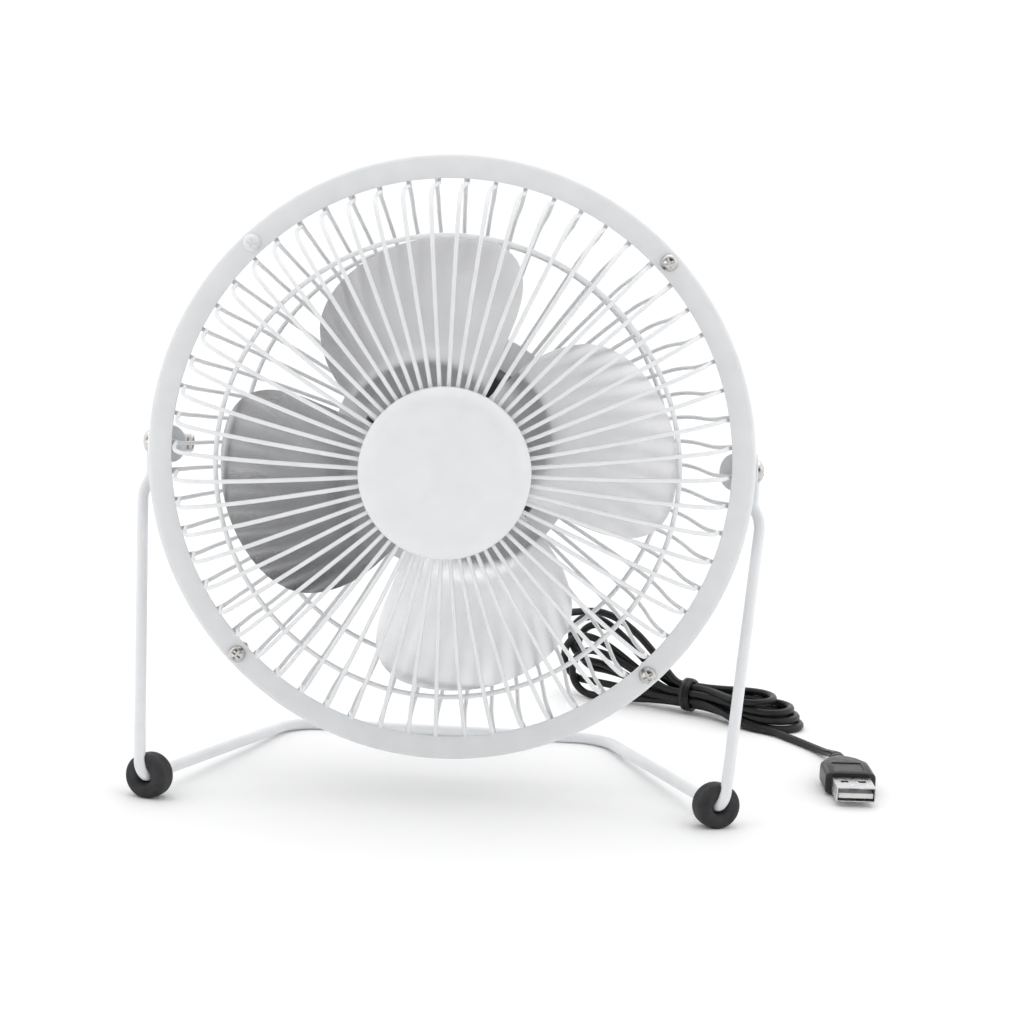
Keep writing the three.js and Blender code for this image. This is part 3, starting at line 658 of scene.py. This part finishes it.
def swing_path(profile, angle, count, jog):
    """A spoke's line from its (radius, z, swing) profile, at that angle round the guard."""
    flat = smooth_path([(r, z, s) for r, z, s in profile], count)
    line = []
    for r, z, s in flat:
        turn = angle + s * jog
        line.append(Vector((r * math.cos(turn), r * math.sin(turn), z)))
    return line


RIM_HOLE = 1.75


def turned_to(angle, radius):
    """The place at that angle and radius about the head's axis."""
    return Matrix.Translation((radius * math.cos(angle), radius * math.sin(angle), 0))


def rims():
    back = RIM_FRONT - SHEET
    pressed = [
        (RIM_INNER, back), (RIM_RADIUS - 1.5, back), (RIM_RADIUS - SHEET, back - 0.8),
        (RIM_RADIUS - SHEET, SKIRT_BACK), (RIM_RADIUS, SKIRT_BACK), (RIM_RADIUS, RIM_FRONT - 1.3),
        (RIM_RADIUS - 0.35, RIM_FRONT - 0.45), (RIM_RADIUS - 1.3, RIM_FRONT), (RIM_INNER, RIM_FRONT),
    ]
    front = lathe("front_rim_sheet", rounded(pressed, 0.3), 240, HEAD, WHITE, "head",
                  ["front_rim"])
    inner, outer = 86.4, RIM_RADIUS - SHEET - 0.6
    flat = rectangle(inner, outer, 5.15, 5.15 + SHEET)
    rear = lathe("rear_rim_ring", rounded(flat, 0.2), 240, HEAD, WHITE, "head", ["rear_rim"])

    def holes(bm):
        for angle in RIM_SCREW_TURNS:
            add_prism(bm, polygon(24, RIM_HOLE), 2, 14, turned_to(angle, SCREW_RING))
    for piece in (front, rear):
        carve(piece, cutter("holes", holes, HEAD), sharp=28)


FRONT_SPOKE = [
    (20.5, 44.7, 0), (30, 44.1, 0), (40, 43.0, 0), (50, 41.4, 0), (60, 38.9, 0), (68, 35.9, 0), (74, 32.9, 0),
    (78.5, 29.6, 0), (81.4, 26.0, -0.05), (82.9, 21.5, -0.25), (83.5, 16.5, -0.6), (83.7, 12.4, -0.95),
    (83.9, 10.2, -1.05), (84.8, 9.2, -1.05), (86, 8.95, -1.0), (87.6, 8.85, -1.0),
]
REAR_SPOKE = [
    (37, -16.25, 0), (44, -15.8, 0), (52, -14.8, 0), (60, -13.0, 0), (67, -10.2, 0), (72.3, -6.9, -0.1),
    (75.6, -2.2, -0.4), (78.2, 2.4, -0.8), (80.2, 5.6, -1.0), (82.2, 7.1, -1.0), (84.5, 7.2, -1.0),
    (87.6, 7.2, -1.0),
]
SPOKE_JOG = math.radians(0.7)
HOOP_WIRE = 0.75


def guard(name, node_names, profile, plate, hole, hoop, count, seed):
    """The wires, each bent a little its own way, the hoop that ties them and the plate in the middle."""
    bm = bmesh.new()
    rng = np.random.default_rng(seed)
    for k in range(SPOKES):
        angle = 2 * math.pi * k / SPOKES
        wobble = rng.normal(0, 1, 3)
        own = []
        for r, z, s in profile:
            outer = min(max((r - 60) / 25, 0), 1)
            swing = s * (1 + 0.22 * wobble[1]) + wobble[2] * 0.16 * outer
            own.append((r, z + wobble[0] * 0.12 * outer, swing))
        add_tube(bm, swing_path(own, angle, count, SPOKE_JOG), WIRE, 8)
    hoop_radius, hoop_z = hoop
    add_lathe(bm, [(hoop_radius + a, hoop_z + b) for a, b in polygon(8, HOOP_WIRE)], 160)
    radius, low, high = plate
    add_lathe(bm, rounded(rectangle(hole, radius, low, high), 0.35), 120)
    return finish_mesh(name, bm, HEAD, BRIGHT_WHITE, "head", node_names, 50)


def guards():
    front, rear = ["front_grille", "front_hoop"], ["rear_grille", "rear_hoop"]
    guard("front_guard", front, FRONT_SPOKE, (22, 43.9, 45.6), 2.3, (69, 32.8), 40, seed=7)
    guard("rear_guard", rear, REAR_SPOKE, (38.5, -17, -15.6), 6, (66, -12.0), 30, seed=11)


def front_cap():
    r, back, front = 25.5, 45.9, 50.6
    outline = [
        (0, front), (19.2, front), (20.6, front - 0.08), (22.2, front - 0.5), (23.5, front - 1.15),
        (24.6, front - 1.95), (25.25, front - 2.7), (r, front - 3.5), (r, back), (r - 0.8, back),
        (r - 0.8, front - 3.6), (24.3, front - 2.6), (23, front - 1.8), (21.6, front - 1.2),
        (19.2, front - 0.8),
        (1.9, front - 0.8), (1.9, 41.2), (1.5, 40.9), (0, 40.9),
    ]
    lathe("front_cap_shell", outline, 160, HEAD, WHITE, "head", ["front_cap"], 60)


# ---------------- fasteners


def cross_recess(screw, matrix, half, wide, low, high, turn):
    """Cuts the two crossing slots of a Phillips recess."""
    for quarter in range(2):
        def slot_cut(bm):
            lie = turn_z(quarter * math.pi / 2 + turn)
            add_prism(bm, rectangle(-half, half, -wide, wide), low, high, lie)
        carve(screw, cutter("slot", slot_cut, matrix), sharp=40)


def pan_screw(name, node_name, matrix, seat, height, radius, shank, tip, material, recess=0.35):
    """A pan head with a cross recess that leaves that share of its height."""
    outline = [(0, seat + height)]
    for k in range(1, 7):
        t = k / 6 * math.pi / 2
        outline.append((radius * math.sin(t) ** 0.85, seat + height * (0.22 + 0.78 * math.cos(t))))
    outline += [(radius, seat + height * 0.1), (radius - 0.15, seat), (shank, seat), (shank, tip + 0.4)]
    outline += [(shank - 0.4, tip), (0, tip)]
    piece = lathe(name, outline, 48, matrix, material, "head", [node_name], 40)
    cross_recess(piece, matrix, radius * 0.56, 0.36, seat + height * recess, seat + height + 1, 0.35)


def hex_nut(name, node_name, matrix, across, hole, low, high, turn):
    """A nut with chamfered corners and a bored, slightly countersunk hole."""
    bm = bmesh.new()
    sides = 36
    outline = []
    for k in range(sides):
        angle = 2 * math.pi * k / sides
        fold = (angle - turn) % (math.pi / 3) - math.pi / 6
        outline.append((angle, across / 2 / math.cos(fold)))
    rings = []
    for z in (low, low + 0.35, high - 0.35, high):
        ring = []
        for angle, flat in outline:
            end = z in (low, high)
            reach = min(flat, across / 2 * 1.03) if end else flat
            ring.append(bm.verts.new((reach * math.cos(angle), reach * math.sin(angle), z)))
        rings.append(ring)
    for r, z in ((hole + 0.25, high), (hole, high - 0.3), (hole, low + 0.3), (hole + 0.25, low)):
        rings.append([bm.verts.new((x, y, z)) for x, y in polygon(sides, r)])
    for a, b in zip(rings, rings[1:] + rings[:1]):
        for k in range(sides):
            n = (k + 1) % sides
            bm.faces.new((a[k], a[n], b[n], b[k]))
    finish_mesh(name, bm, matrix, NICKEL, "head", [node_name], 22)


def threaded_outline(shank, tip, start, pitch=0.7, depth=0.28):
    """The (radius, z) outline of a threaded end, drawn as fine rings, from its tip up to start."""
    outline = []
    z = tip + 0.5
    outline.append((shank - 0.55, tip))
    while z < start - pitch:
        outline.append((shank - depth, z))
        outline.append((shank, z + pitch / 2))
        z += pitch
    outline.append((shank - depth, z))
    return outline


def rim_fasteners():
    for k, angle in enumerate(RIM_SCREW_TURNS):
        spot = HEAD @ turned_to(angle, SCREW_RING)
        number = k + 1
        # The upper left screw is painted over, which fills most of its recess.
        material, recess = (BRIGHT_WHITE, 0.8) if number == 2 else (NICKEL, 0.35)
        pan_screw(f"rim_screw_{number}_head", f"rim_screw_{number}", spot @ turn_z(1.1 * k), RIM_FRONT + 0.02,
                  1.95, 2.65, 1.4, 1.4, material, recess)
        hex_nut(f"rim_nut_{number}_hex", f"rim_nut_{number}", spot, 5.5, 1.45, 2.55, 4.85, turn=0.4 * k)


def pivots():
    for name, side in (("left", -1), ("right", 1)):
        spot = HEAD @ along_x(side)
        tab = [(side * 89.3, -5.8)]
        for k in range(17):
            t = -math.pi / 2 + math.pi * k / 16
            tab.append((side * (86.6 - 5.0 * math.cos(t) ** 0.9), 5.8 * math.sin(t)))
        tab.append((side * 89.3, 5.8))
        bm = bmesh.new()
        add_prism(bm, tab, 3.8, 4.85)
        bracket = finish_mesh(f"pivot_plate_{name}", bm, HEAD, WHITE, "head",
                              [f"pivot_bracket_{name}"])

        def wall(bm):
            add_prism(bm, rectangle(*sorted((side * 88.1, side * 89.3)), -5.8, 5.8), -5.5, 4.4)
        carve(bracket, cutter("wall", wall, HEAD), "UNION")

        def hole(bm):
            add_prism(bm, polygon(32, PIVOT_HOLE), 85, 92)
        carve(bracket, cutter("hole", hole, spot))
        bevel(bracket, 0.3, 2)

        if side < 0:
            sleeve = [(2.2, 80.3)] + threaded_outline(3.1, 80, 87.5, 1.0, 0.42) + [(2.9, 87.9), (2.2, 87.9)]
            lathe("pivot_nut_left_sleeve", sleeve, 64, spot, NICKEL, "head", ["pivot_nut_left"], 25)
        else:
            hex_nut("pivot_nut_right_hex", "pivot_nut_right", spot, 6.6, 2.1, 84.6, 87.95, turn=0.3)
        ring = [(PIVOT_HOLE, 89.4), (4.2, 89.4), (4.5, 89.7), (4.5, 91.7), (4.2, 92.0), (PIVOT_HOLE, 92.0)]
        lathe(f"pivot_spacer_{name}_ring", ring, 48, spot, WHITE_PLASTIC, "head",
              [f"pivot_spacer_{name}"], 40)

        seat, height, radius, shank = 93.5, 2.0, 3.4, 2.0
        outline = [(0, seat + height)]
        for k in range(1, 8):
            t = k / 7 * math.pi / 2
            outline.append((radius * math.sin(t), seat + 0.3 + (height - 0.3) * math.cos(t)))
        outline += [(radius, seat), (shank, seat), (shank, 88)]
        tip = 80.7 if side < 0 else 82.9
        outline += threaded_outline(shank, tip, 88)[::-1] + [(0, tip)]
        screw = lathe(f"pivot_screw_{name}_dome", outline, 48, spot, NICKEL, "head",
                      [f"pivot_screw_{name}"], 40)
        cross_recess(screw, spot, 1.9, 0.38, seat + 0.9, seat + 4, 0.5)


# ---------------- impeller and motor

# One paddle's edge: (degrees from the paddle's own zero, radius), from its leading edge to its trailing one.
BLADE_OUTLINE = [
    (60, 19), (57.2, 24), (53.5, 31), (50, 40), (45, 49), (38, 57.5), (29, 62.8), (19, 65.8), (9, 67.6),
    (0, 68.3), (-9, 68.3), (-16, 67.2), (-21, 64.0), (-24.5, 58.5), (-26.5, 51), (-27.3, 42), (-27.8, 33),
    (-28.2, 24), (-28.5, 19),
]
BLADE_ROOT = 15.5
BLADE_SETTLED_RADIUS = 36  # from here out the sheet has its full twist
BLADE_MIDDLE = 5  # degrees
BLADE_SLOPE = 0.215
BLADE_CURL = 0.0012
BLADE_PHASE = math.radians(4.8)
HUB_DISC_Z = 24.0


def blade_rise(radius, angle):
    """How far forward the sheet lies at a radius and an angle in degrees."""
    settle = ease(min(max((radius - 15) / (BLADE_SETTLED_RADIUS - 15), 0), 1))
    arc = radius * math.radians(angle - BLADE_MIDDLE)
    return settle * (3.0 + BLADE_SLOPE * arc + BLADE_CURL * arc * arc)


def impeller():
    """One pressed sheet: a hub disc and four broad, twisted paddles, made as one closed skin."""
    bm = bmesh.new()
    half = SHEET / 2
    around, outward = 72, 26
    edge = smooth_path([(a, r, 0) for a, r in BLADE_OUTLINE], around + 1)
    first, last = BLADE_OUTLINE[0][0], BLADE_OUTLINE[-1][0]
    layers = []
    for offset in (half, -half):
        grids = []
        for blade in range(4):
            turn = turn_z(BLADE_PHASE - blade * math.pi / 2)
            grid = []
            for i, mark in enumerate(edge):
                tip_angle = math.radians(mark.x)
                root_angle = math.radians(first + (last - first) * i / around)
                tip = Vector((math.cos(tip_angle), math.sin(tip_angle))) * mark.y
                root = Vector((math.cos(root_angle), math.sin(root_angle))) * BLADE_ROOT
                row = []
                for j in range(outward + 1):
                    q = root.lerp(tip, j / outward)
                    z = HUB_DISC_Z + blade_rise(q.length, math.degrees(math.atan2(q.y, q.x))) + offset
                    row.append(bm.verts.new(turn @ Vector((q.x, q.y, z))))
                grid.append(row)
            grids.append(grid)
        rim = [row[0] for grid in grids for row in grid]
        discs = [rim]
        for radius in (9.0, 1.6):
            ring = []
            for vert in rim:
                out = Vector((vert.co.x, vert.co.y)).normalized() * radius
                ring.append(bm.verts.new((out.x, out.y, HUB_DISC_Z + offset)))
            discs.append(ring)
        layers.append((grids, discs))
    for grids, discs in layers:
        for grid in grids:
            for i in range(around):
                for j in range(outward):
                    bm.faces.new((grid[i][j], grid[i][j + 1], grid[i + 1][j + 1], grid[i + 1][j]))
        for a, b in zip(discs, discs[1:]):
            for k in range(len(a)):
                n = (k + 1) % len(a)
                bm.faces.new((a[k], a[n], b[n], b[k]))
    (top, top_discs), (bottom, bottom_discs) = layers
    for a, b in zip(top, bottom):
        for i in range(around):
            bm.faces.new((a[i][-1], b[i][-1], b[i + 1][-1], a[i + 1][-1]))
        for i in (0, around):
            for j in range(outward):
                bm.faces.new((a[i][j], b[i][j], b[i][j + 1], a[i][j + 1]))
    for k in range(4):
        n = (k + 1) % 4
        bm.faces.new((top[k][-1][0], top[n][0][0], bottom[n][0][0], bottom[k][-1][0]))
    a, b = top_discs[-1], bottom_discs[-1]
    for k in range(len(a)):
        n = (k + 1) % len(a)
        bm.faces.new((a[k], a[n], b[n], b[k]))
    piece = finish_mesh("impeller_sheet", bm, HEAD, ALUMINIUM, "impeller",
                        ["impeller_blades"], 50)
    bevel(piece, 0.14, 2, 60)


def motor_parts():
    hub_top = 23.2
    hub = [(1.45, 8.5), (6, 8.5), (6.6, 9.1), (6.6, 16), (12, 19.5), (12, hub_top), (1.45, hub_top)]
    lathe("impeller_boss", rounded(hub, 0.5), 64, HEAD, BLACK, "impeller", ["impeller_hub"])
    for name, material in (
        ("hub_washer", NICKEL), ("hub_nut", NICKEL), ("motor_shaft", NICKEL), ("cap_nut", NICKEL),
        ("motor_can", NICKEL), ("front_bush", BRONZE), ("rear_bush", BRONZE), ("motor_end_bell", BLACK),
        ("armature", IRON), ("magnet_left", FERRITE), ("magnet_right", FERRITE), ("motor_screw_1", NICKEL),
        ("motor_screw_2", NICKEL),
    ):
        data = frame["nodes"][name].data
        data.materials.clear()
        data.materials.append(material)


def slot_outline(half, radius, y):
    """A slot with round ends, its middle at that y."""
    outline = []
    for end in (1, -1):
        for n in range(9):
            a = end * (-math.pi / 2) + math.pi * n / 8
            outline.append((end * half + radius * math.cos(a), y + radius * math.sin(a)))
    return outline


def housings():
    r, wall, back, front = 29, 1.8, -15.2, 5.5
    shell = [
        (7, front), (r - 3.2, front), (r - 1.2, front - 0.5), (r - 0.4, front - 1.5), (r, front - 3.2),
        (r, back), (r - wall, back), (r - wall, front - wall - 1), (r - wall - 1, front - wall),
        (7, front - wall),
    ]
    lathe("motor_cup", rounded(shell, 0.5), 96, HEAD, BLACK, "head", ["motor_housing"], 30)
    rear = REAR_FACE
    cup = [
        (0, rear), (26.5, rear), (28.8, rear + 0.45), (30.3, rear + 1.6), (31, rear + 3.6), (31, -17.3),
        (29, -17.3), (29, rear + 3.4), (27.4, rear + 2), (0, rear + 2),
    ]
    cover = lathe("rear_cup", cup, 120, HEAD, BLACK, "head", ["rear_cover"], 30)

    def open_up(outline, high, spot=Matrix()):
        def opening(bm):
            add_prism(bm, outline, rear - 1, high, spot)
        carve(cover, cutter("opening", opening, HEAD), sharp=30)

    open_up(rectangle(-7.1, 7.1, SWITCH_Y - 5.1, SWITCH_Y + 5.1), rear + 4)
    for angle in COVER_SCREW_TURNS:
        open_up(polygon(40, 3.0), rear + 1.6, turned_to(angle, COVER_SCREW_RING))
    # cooling slots below the switch
    for row in range(5):
        open_up(slot_outline(10.5 - row * 0.9, 0.7, -6.5 - row * 3.4), rear + 4)
    bevel(cover, 0.18, 1, 40)
    for k, angle in enumerate(COVER_SCREW_TURNS):
        flip = HEAD @ turned_to(angle, COVER_SCREW_RING) @ Matrix.Rotation(math.pi, 4, "X")
        pan_screw(f"cover_screw_{k + 1}_head", f"cover_screw_{k + 1}", flip @ turn_z(0.7 * k), 30.4, 1.5, 2.5,
                  1.25, 8, NICKEL)


def power_switch():
    rear, mid = REAR_FACE, SWITCH_Y
    barrel_outline = rectangle(-6.8, 6.8, mid - 4.8, mid + 4.8)
    inner = rectangle(-5.9, 5.9, mid - 3.9, mid + 3.9)
    bm = bmesh.new()
    add_tunnel_prism(bm, rectangle(-8, 8, mid - 5.9, mid + 5.9), inner, rear - 1.3, rear - 0.02)
    body = finish_mesh("switch_frame", bm, HEAD, BLACK, "head", ["switch_body"])

    def barrel(bm):
        add_tunnel_prism(bm, barrel_outline, inner, rear - 0.6, rear + 5.7)
    carve(body, cutter("barrel", barrel, HEAD), "UNION")

    def floor(bm):
        add_prism(bm, barrel_outline, rear + 5.6, rear + 9)
    carve(body, cutter("barrel_floor", floor, HEAD), "UNION")
    bevel(body, 0.35, 3)

    profile = [
        (-5.1, 2.5), (-2.6, 1.45), (0, 0.9), (2.6, 0.62), (5.1, 0.54), (4.6, -1.6), (0, -2.6), (-4.6, -1.6),
    ]
    turn = Matrix.Translation((0, mid, rear + 0.2)) @ Matrix.Rotation(-math.pi / 2, 4, "X")
    bm = bmesh.new()
    add_prism(bm, profile, -3.6, 3.6, turn)
    rocker = finish_mesh("switch_rocker_cap", bm, HEAD, BLACK, "rocker",
                         ["switch_rocker"], 25)
    bevel(rocker, 0.35, 3, 25)


# ---------------- stand

ROD_RADIUS = 1.75
ROD_BENDS = (5, 9, 3.6, 14, 14, 3.6, 9, 5)
LEG_TOP = (95.2, -0.6, 84.5)
FOOT_CORNER = (87.1, -50, 6.8)
REAR_CORNER = (50.6, 41.5, 1.6)
FOOT_ALONG_RUN = 5.9
EAR = (92.2, 93.4)  # the flattened ear's inner and outer face


def rod_corners():
    right = [(92.6, 0, 96.5), (92.6, 0, 89.4), LEG_TOP, FOOT_CORNER, REAR_CORNER]
    left = [(-x, y, z) for x, y, z in reversed(right)]
    return right + left


def stand():
    line = bent_path(rod_corners(), ROD_BENDS, 14)
    bm = bmesh.new()
    add_tube(bm, line, ROD_RADIUS, 20, dome=True)
    rod = finish_mesh("stand_wire", bm, BASE, WHITE, "stand", ["stand_rod"], 50)
    for side in (-1, 1):
        pin_line = Matrix.Translation((0, 0, PIVOT_HEIGHT)) @ along_x(side)
        inner, outer = EAR

        def ear(bm):
            profile = [
                (0, inner), (5.2, inner), (5.5, inner + 0.25), (5.5, outer - 0.25), (5.2, outer), (0, outer),
            ]
            add_lathe(bm, profile, 56, pin_line)
        carve(rod, cutter("ear", ear, BASE), "UNION", 50)

        def neck(bm):
            outline = [(-2.6, 91.2), (2.6, 91.2), (4.6, 96.8), (-4.6, 96.8)]
            add_prism(bm, outline, *sorted((side * inner, side * outer)), UPRIGHT)
        carve(rod, cutter("neck", neck, BASE), "UNION", 50)

        def hole(bm):
            add_prism(bm, polygon(32, PIVOT_HOLE), 90, 96, pin_line)
        carve(rod, cutter("ear_hole", hole, BASE), sharp=50)
    cut_below_floor(rod, 50)


def feet():
    line = bent_path(rod_corners(), ROD_BENDS, 12)
    for name, side in (("left", -1), ("right", 1)):
        corner = Vector((side * FOOT_CORNER[0], FOOT_CORNER[1], FOOT_CORNER[2]))
        rear = Vector((side * REAR_CORNER[0], REAR_CORNER[1], REAR_CORNER[2]))
        run = (rear - corner).normalized()
        across = Vector((0, 0, 1)).cross(run).normalized()
        up = run.cross(across)
        local = Matrix((across, up, run)).transposed().to_4x4()
        local.translation = corner + run * FOOT_ALONG_RUN
        r, half, hole = 6.75, 3.8, 2.0
        outline = [
            (hole, -half + 1.9), (hole + 0.25, -half + 1.0), (hole + 0.65, -half + 0.3), (hole + 1.1, -half),
        ]
        quarter = [k / 8 * math.pi / 2 for k in range(9)]
        outline += [(r - 2.1 + 2.1 * math.sin(t), -half + 1.9 - 1.9 * math.cos(t)) for t in quarter]
        outline += [(r - 2.1 + 2.1 * math.sin(t), half - 1.9 + 1.9 * math.cos(t)) for t in quarter[::-1]]
        outline.append((hole, half))
        foot = lathe(f"foot_{name}_ring", outline, 96, BASE @ local, RUBBER, "stand",
                     [f"foot_{name}"], 40)

        def sweep(bm):
            add_tube(bm, line, ROD_RADIUS + 0.06, 20, dome=False)
        carve(foot, cutter("rod_space", sweep, BASE), sharp=40)
        cut_below_floor(foot, 40)


# ---------------- grommet, tie and plug


def grommet():
    """A ribbed strain relief that tapers down to the lead."""
    spot = HEAD @ Matrix.Translation((0, 0, GROMMET_Z)) @ Matrix.Rotation(math.pi / 2, 4, "X")
    outline = [
        (1.32, 28), (3.5, 28), (3.5, 28.9), (2.4, 29.2), (2.4, 31.0), (3.5, 31.3), (3.5, 32.6), (3.2, 33.2),
    ]
    top, tip = 33.2, 45.0
    ribs = 5
    for k in range(ribs):
        a = top + (tip - top) * (k + 0.15) / ribs
        b = top + (tip - top) * (k + 0.75) / ribs
        ra = 3.1 - 1.05 * (a - top) / (tip - top)
        rb = 3.1 - 1.05 * (b - top) / (tip - top)
        outline += [(ra - 0.45, a), (ra - 0.45, a + 0.55), (rb, a + 0.75), (rb, b)]
    outline += [(1.95, tip - 0.5), (1.75, tip), (1.32, tip)]
    lathe("grommet", rounded(outline, 0.12, 1), 48, spot, RUBBER, "head", ["cord_grommet"],
          40)


def tie():
    """A turn of the same black cord pulled round the bundle, with a groove down its middle."""
    bm = bmesh.new()
    segments = 72
    # A cross-section with a groove down its middle: (along the bundle, away from it).
    profile = (
        (-1.7, 0.0), (-1.75, 0.55), (-1.3, 1.0), (-0.35, 1.1), (0.0, 0.85), (0.35, 1.1), (1.3, 1.0),
        (1.75, 0.55), (1.7, 0.0),
    )
    rings = []
    for k in range(segments):
        a = 2 * math.pi * k / segments
        squeeze = 1 + 0.015 * math.cos(8 * a)
        lean = 0.35 * math.sin(a)
        ring = []
        for w, t in profile:
            radius = (TIE_RADIUS + t) * squeeze
            level, height = radius * math.cos(a), TIE_HEIGHT + radius * math.sin(a)
            ring.append(bm.verts.new(hank_point(w + lean, level, height)))
        rings.append(ring)
    for k in range(segments):
        a, b = rings[k], rings[(k + 1) % segments]
        for n in range(len(profile)):
            m = (n + 1) % len(profile)
            bm.faces.new((a[n], b[n], b[m], a[m]))
    finish_mesh("tie_band", bm, BASE, CORD_BLACK, "stand", ["cord_tie"], 40)


def plug():
    place_plug = BASE @ Matrix.Translation(PLUG_BACK) @ turn_z(PLUG_YAW)
    # Cross-sections along x: position, half width, half height.
    stations = [
        (0, 1.9, 1.9), (1.4, 2.3, 2.2), (1.9, 1.95, 1.95), (3.1, 2.0, 2.0), (3.6, 2.5, 2.4),
        (5.2, 2.6, 2.45), (5.7, 2.1, 2.1), (6.9, 2.2, 2.2), (7.4, 3.0, 2.7), (9.0, 3.2, 2.8),
        (9.6, 4.2, 3.1), (12.6, 5.3, 3.5), (16.8, 7.5, 3.7), (17.6, 7.7, 3.7), (30.6, 7.9, 3.7),
        (31, 7.55, 3.4),
    ]
    bm = bmesh.new()
    rings = []
    sides = 48
    for x, wide, high in stations:
        power = 2.2 if x < 9 else (3.2 if x < 12 else 5.5)
        ring = []
        for k in range(sides):
            a = 2 * math.pi * (k + 0.5) / sides
            c, s = math.cos(a), math.sin(a)
            y = wide * math.copysign(abs(c) ** (2 / power), c)
            z = high * math.copysign(abs(s) ** (2 / power), s)
            ring.append(bm.verts.new((x, y, z)))
        rings.append(ring)
    for a, b in zip(rings, rings[1:]):
        for k in range(sides):
            n = (k + 1) % sides
            bm.faces.new((a[k], a[n], b[n], b[k]))
    bm.faces.new(rings[0][::-1])
    bm.faces.new(rings[-1])
    body = finish_mesh("plug_moulding", bm, place_plug, BLACK, "stand", ["plug_body"], 40)

    for x0, x1, half, low, high in ((19.5, 28.6, 4.6, 3.38, 6), (24, 32, 6.02, -2.27, 2.27)):
        def recess(bm):
            add_prism(bm, rectangle(x0, x1, -half, half), low, high)
        carve(body, cutter("recess", recess, place_plug), sharp=40)

    bm = bmesh.new()
    outer = rectangle(-5.98, 5.98, -2.23, 2.23)
    inner = rectangle(-5.66, 5.66, -1.93, 1.93)
    add_tunnel_prism(bm, outer, inner, 25, 43, UPRIGHT)
    shell = finish_mesh("plug_sleeve", bm, place_plug, SHELL_STEEL, "stand", ["plug_shell"], 40)
    for way in (-1, 1):
        def window(bm):
            y = way * 2.75
            add_prism(bm, rectangle(34.6, 37.0, y - 1.15, y + 1.15), -4, 4)
        carve(shell, cutter("window", window, place_plug), sharp=40)
    bevel(shell, 0.1, 2)
    bm = bmesh.new()
    add_prism(bm, rectangle(25, 42.3, -5.4, 5.4), -1.3, 0.3)
    tongue = finish_mesh("plug_tongue_block", bm, place_plug, WHITE_PLASTIC, "stand",
                         ["plug_tongue"])
    bevel(tongue, 0.15, 2)
    return body, shell, tongue


# ---------------- assembly

rims()
guards()
front_cap()
rim_fasteners()
pivots()
impeller()
motor_parts()
housings()
power_switch()
stand()
feet()
grommet()
tie()
plug_pieces = plug()

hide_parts("cord_tail", "cord_hank", "cord_lead")
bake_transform(cord_piece)

# ---------------- stage

FLOOR_REACH = 17  # metres
WORLD_STRENGTH = 1.27
DIM_PATCH = 0.05


def stage():
    mesh = bpy.data.meshes.new("floor")
    bm = bmesh.new()
    for x, y in rectangle(-FLOOR_REACH, FLOOR_REACH, -FLOOR_REACH, FLOOR_REACH):
        bm.verts.new((x, y, 0))
    bm.faces.new(bm.verts)
    bm.to_mesh(mesh)
    bm.free()
    floor = bpy.data.objects.new("floor", mesh)
    bpy.context.scene.collection.objects.link(floor)
    material = shader("floor_white", (0.95, 0.95, 0.95), 0.9)
    mesh.materials.append(material)

    # A bright room with a dim patch above the horizon, behind the camera, as a dark cloth there would give.
    world = bpy.data.worlds.new("studio")
    bpy.context.scene.world = world
    world.use_nodes = True
    tree = world.node_tree
    background = tree.nodes["Background"]
    background.inputs["Strength"].default_value = WORLD_STRENGTH
    coordinates = tree.nodes.new("ShaderNodeTexCoord")
    parts = tree.nodes.new("ShaderNodeSeparateXYZ")
    tree.links.new(coordinates.outputs["Generated"], parts.inputs["Vector"])

    def fade(output, start, end):
        made = tree.nodes.new("ShaderNodeMapRange")
        made.interpolation_type = "SMOOTHSTEP"
        made.inputs["From Min"].default_value = start
        made.inputs["From Max"].default_value = end
        tree.links.new(parts.outputs[output], made.inputs["Value"])
        return made.outputs["Result"]

    both = tree.nodes.new("ShaderNodeMath")
    both.operation = "MULTIPLY"
    tree.links.new(fade("Y", -0.35, -0.78), both.inputs[0])
    tree.links.new(fade("Z", 0.04, 0.18), both.inputs[1])
    ramp = tree.nodes.new("ShaderNodeValToRGB")
    ramp.color_ramp.elements[0].color = (1, 1, 1, 1)
    ramp.color_ramp.elements[1].color = (*[DIM_PATCH] * 3, 1)
    tree.links.new(both.outputs["Value"], ramp.inputs["Fac"])
    tree.links.new(ramp.outputs["Color"], background.inputs["Color"])

    def area(name, size, energy, spot, target, mirrored=True):
        light = bpy.data.lights.new(name, "AREA")
        light.shape = "RECTANGLE"
        light.size, light.size_y = size
        light.energy = energy
        lamp = bpy.data.objects.new(name, light)
        bpy.context.scene.collection.objects.link(lamp)
        lamp.location = spot
        lamp.rotation_mode = "QUATERNION"
        lamp.rotation_quaternion = (Vector(target) - Vector(spot)).to_track_quat("-Z", "Y")
        lamp.visible_glossy = mirrored

    area("top", (1.4, 1.2), 3, (0, 0.3, 1.5), (0, 0, 0.05))
    area("front_left", (0.6, 0.8), 2.4, (-0.75, -1.4, 0.3), (0, 0, 0.1))
    area("front_right", (0.6, 0.8), 2.0, (0.75, -1.4, 0.3), (0, 0, 0.1), mirrored=False)


bpy.context.scene.view_settings.view_transform = "Standard"
stage()
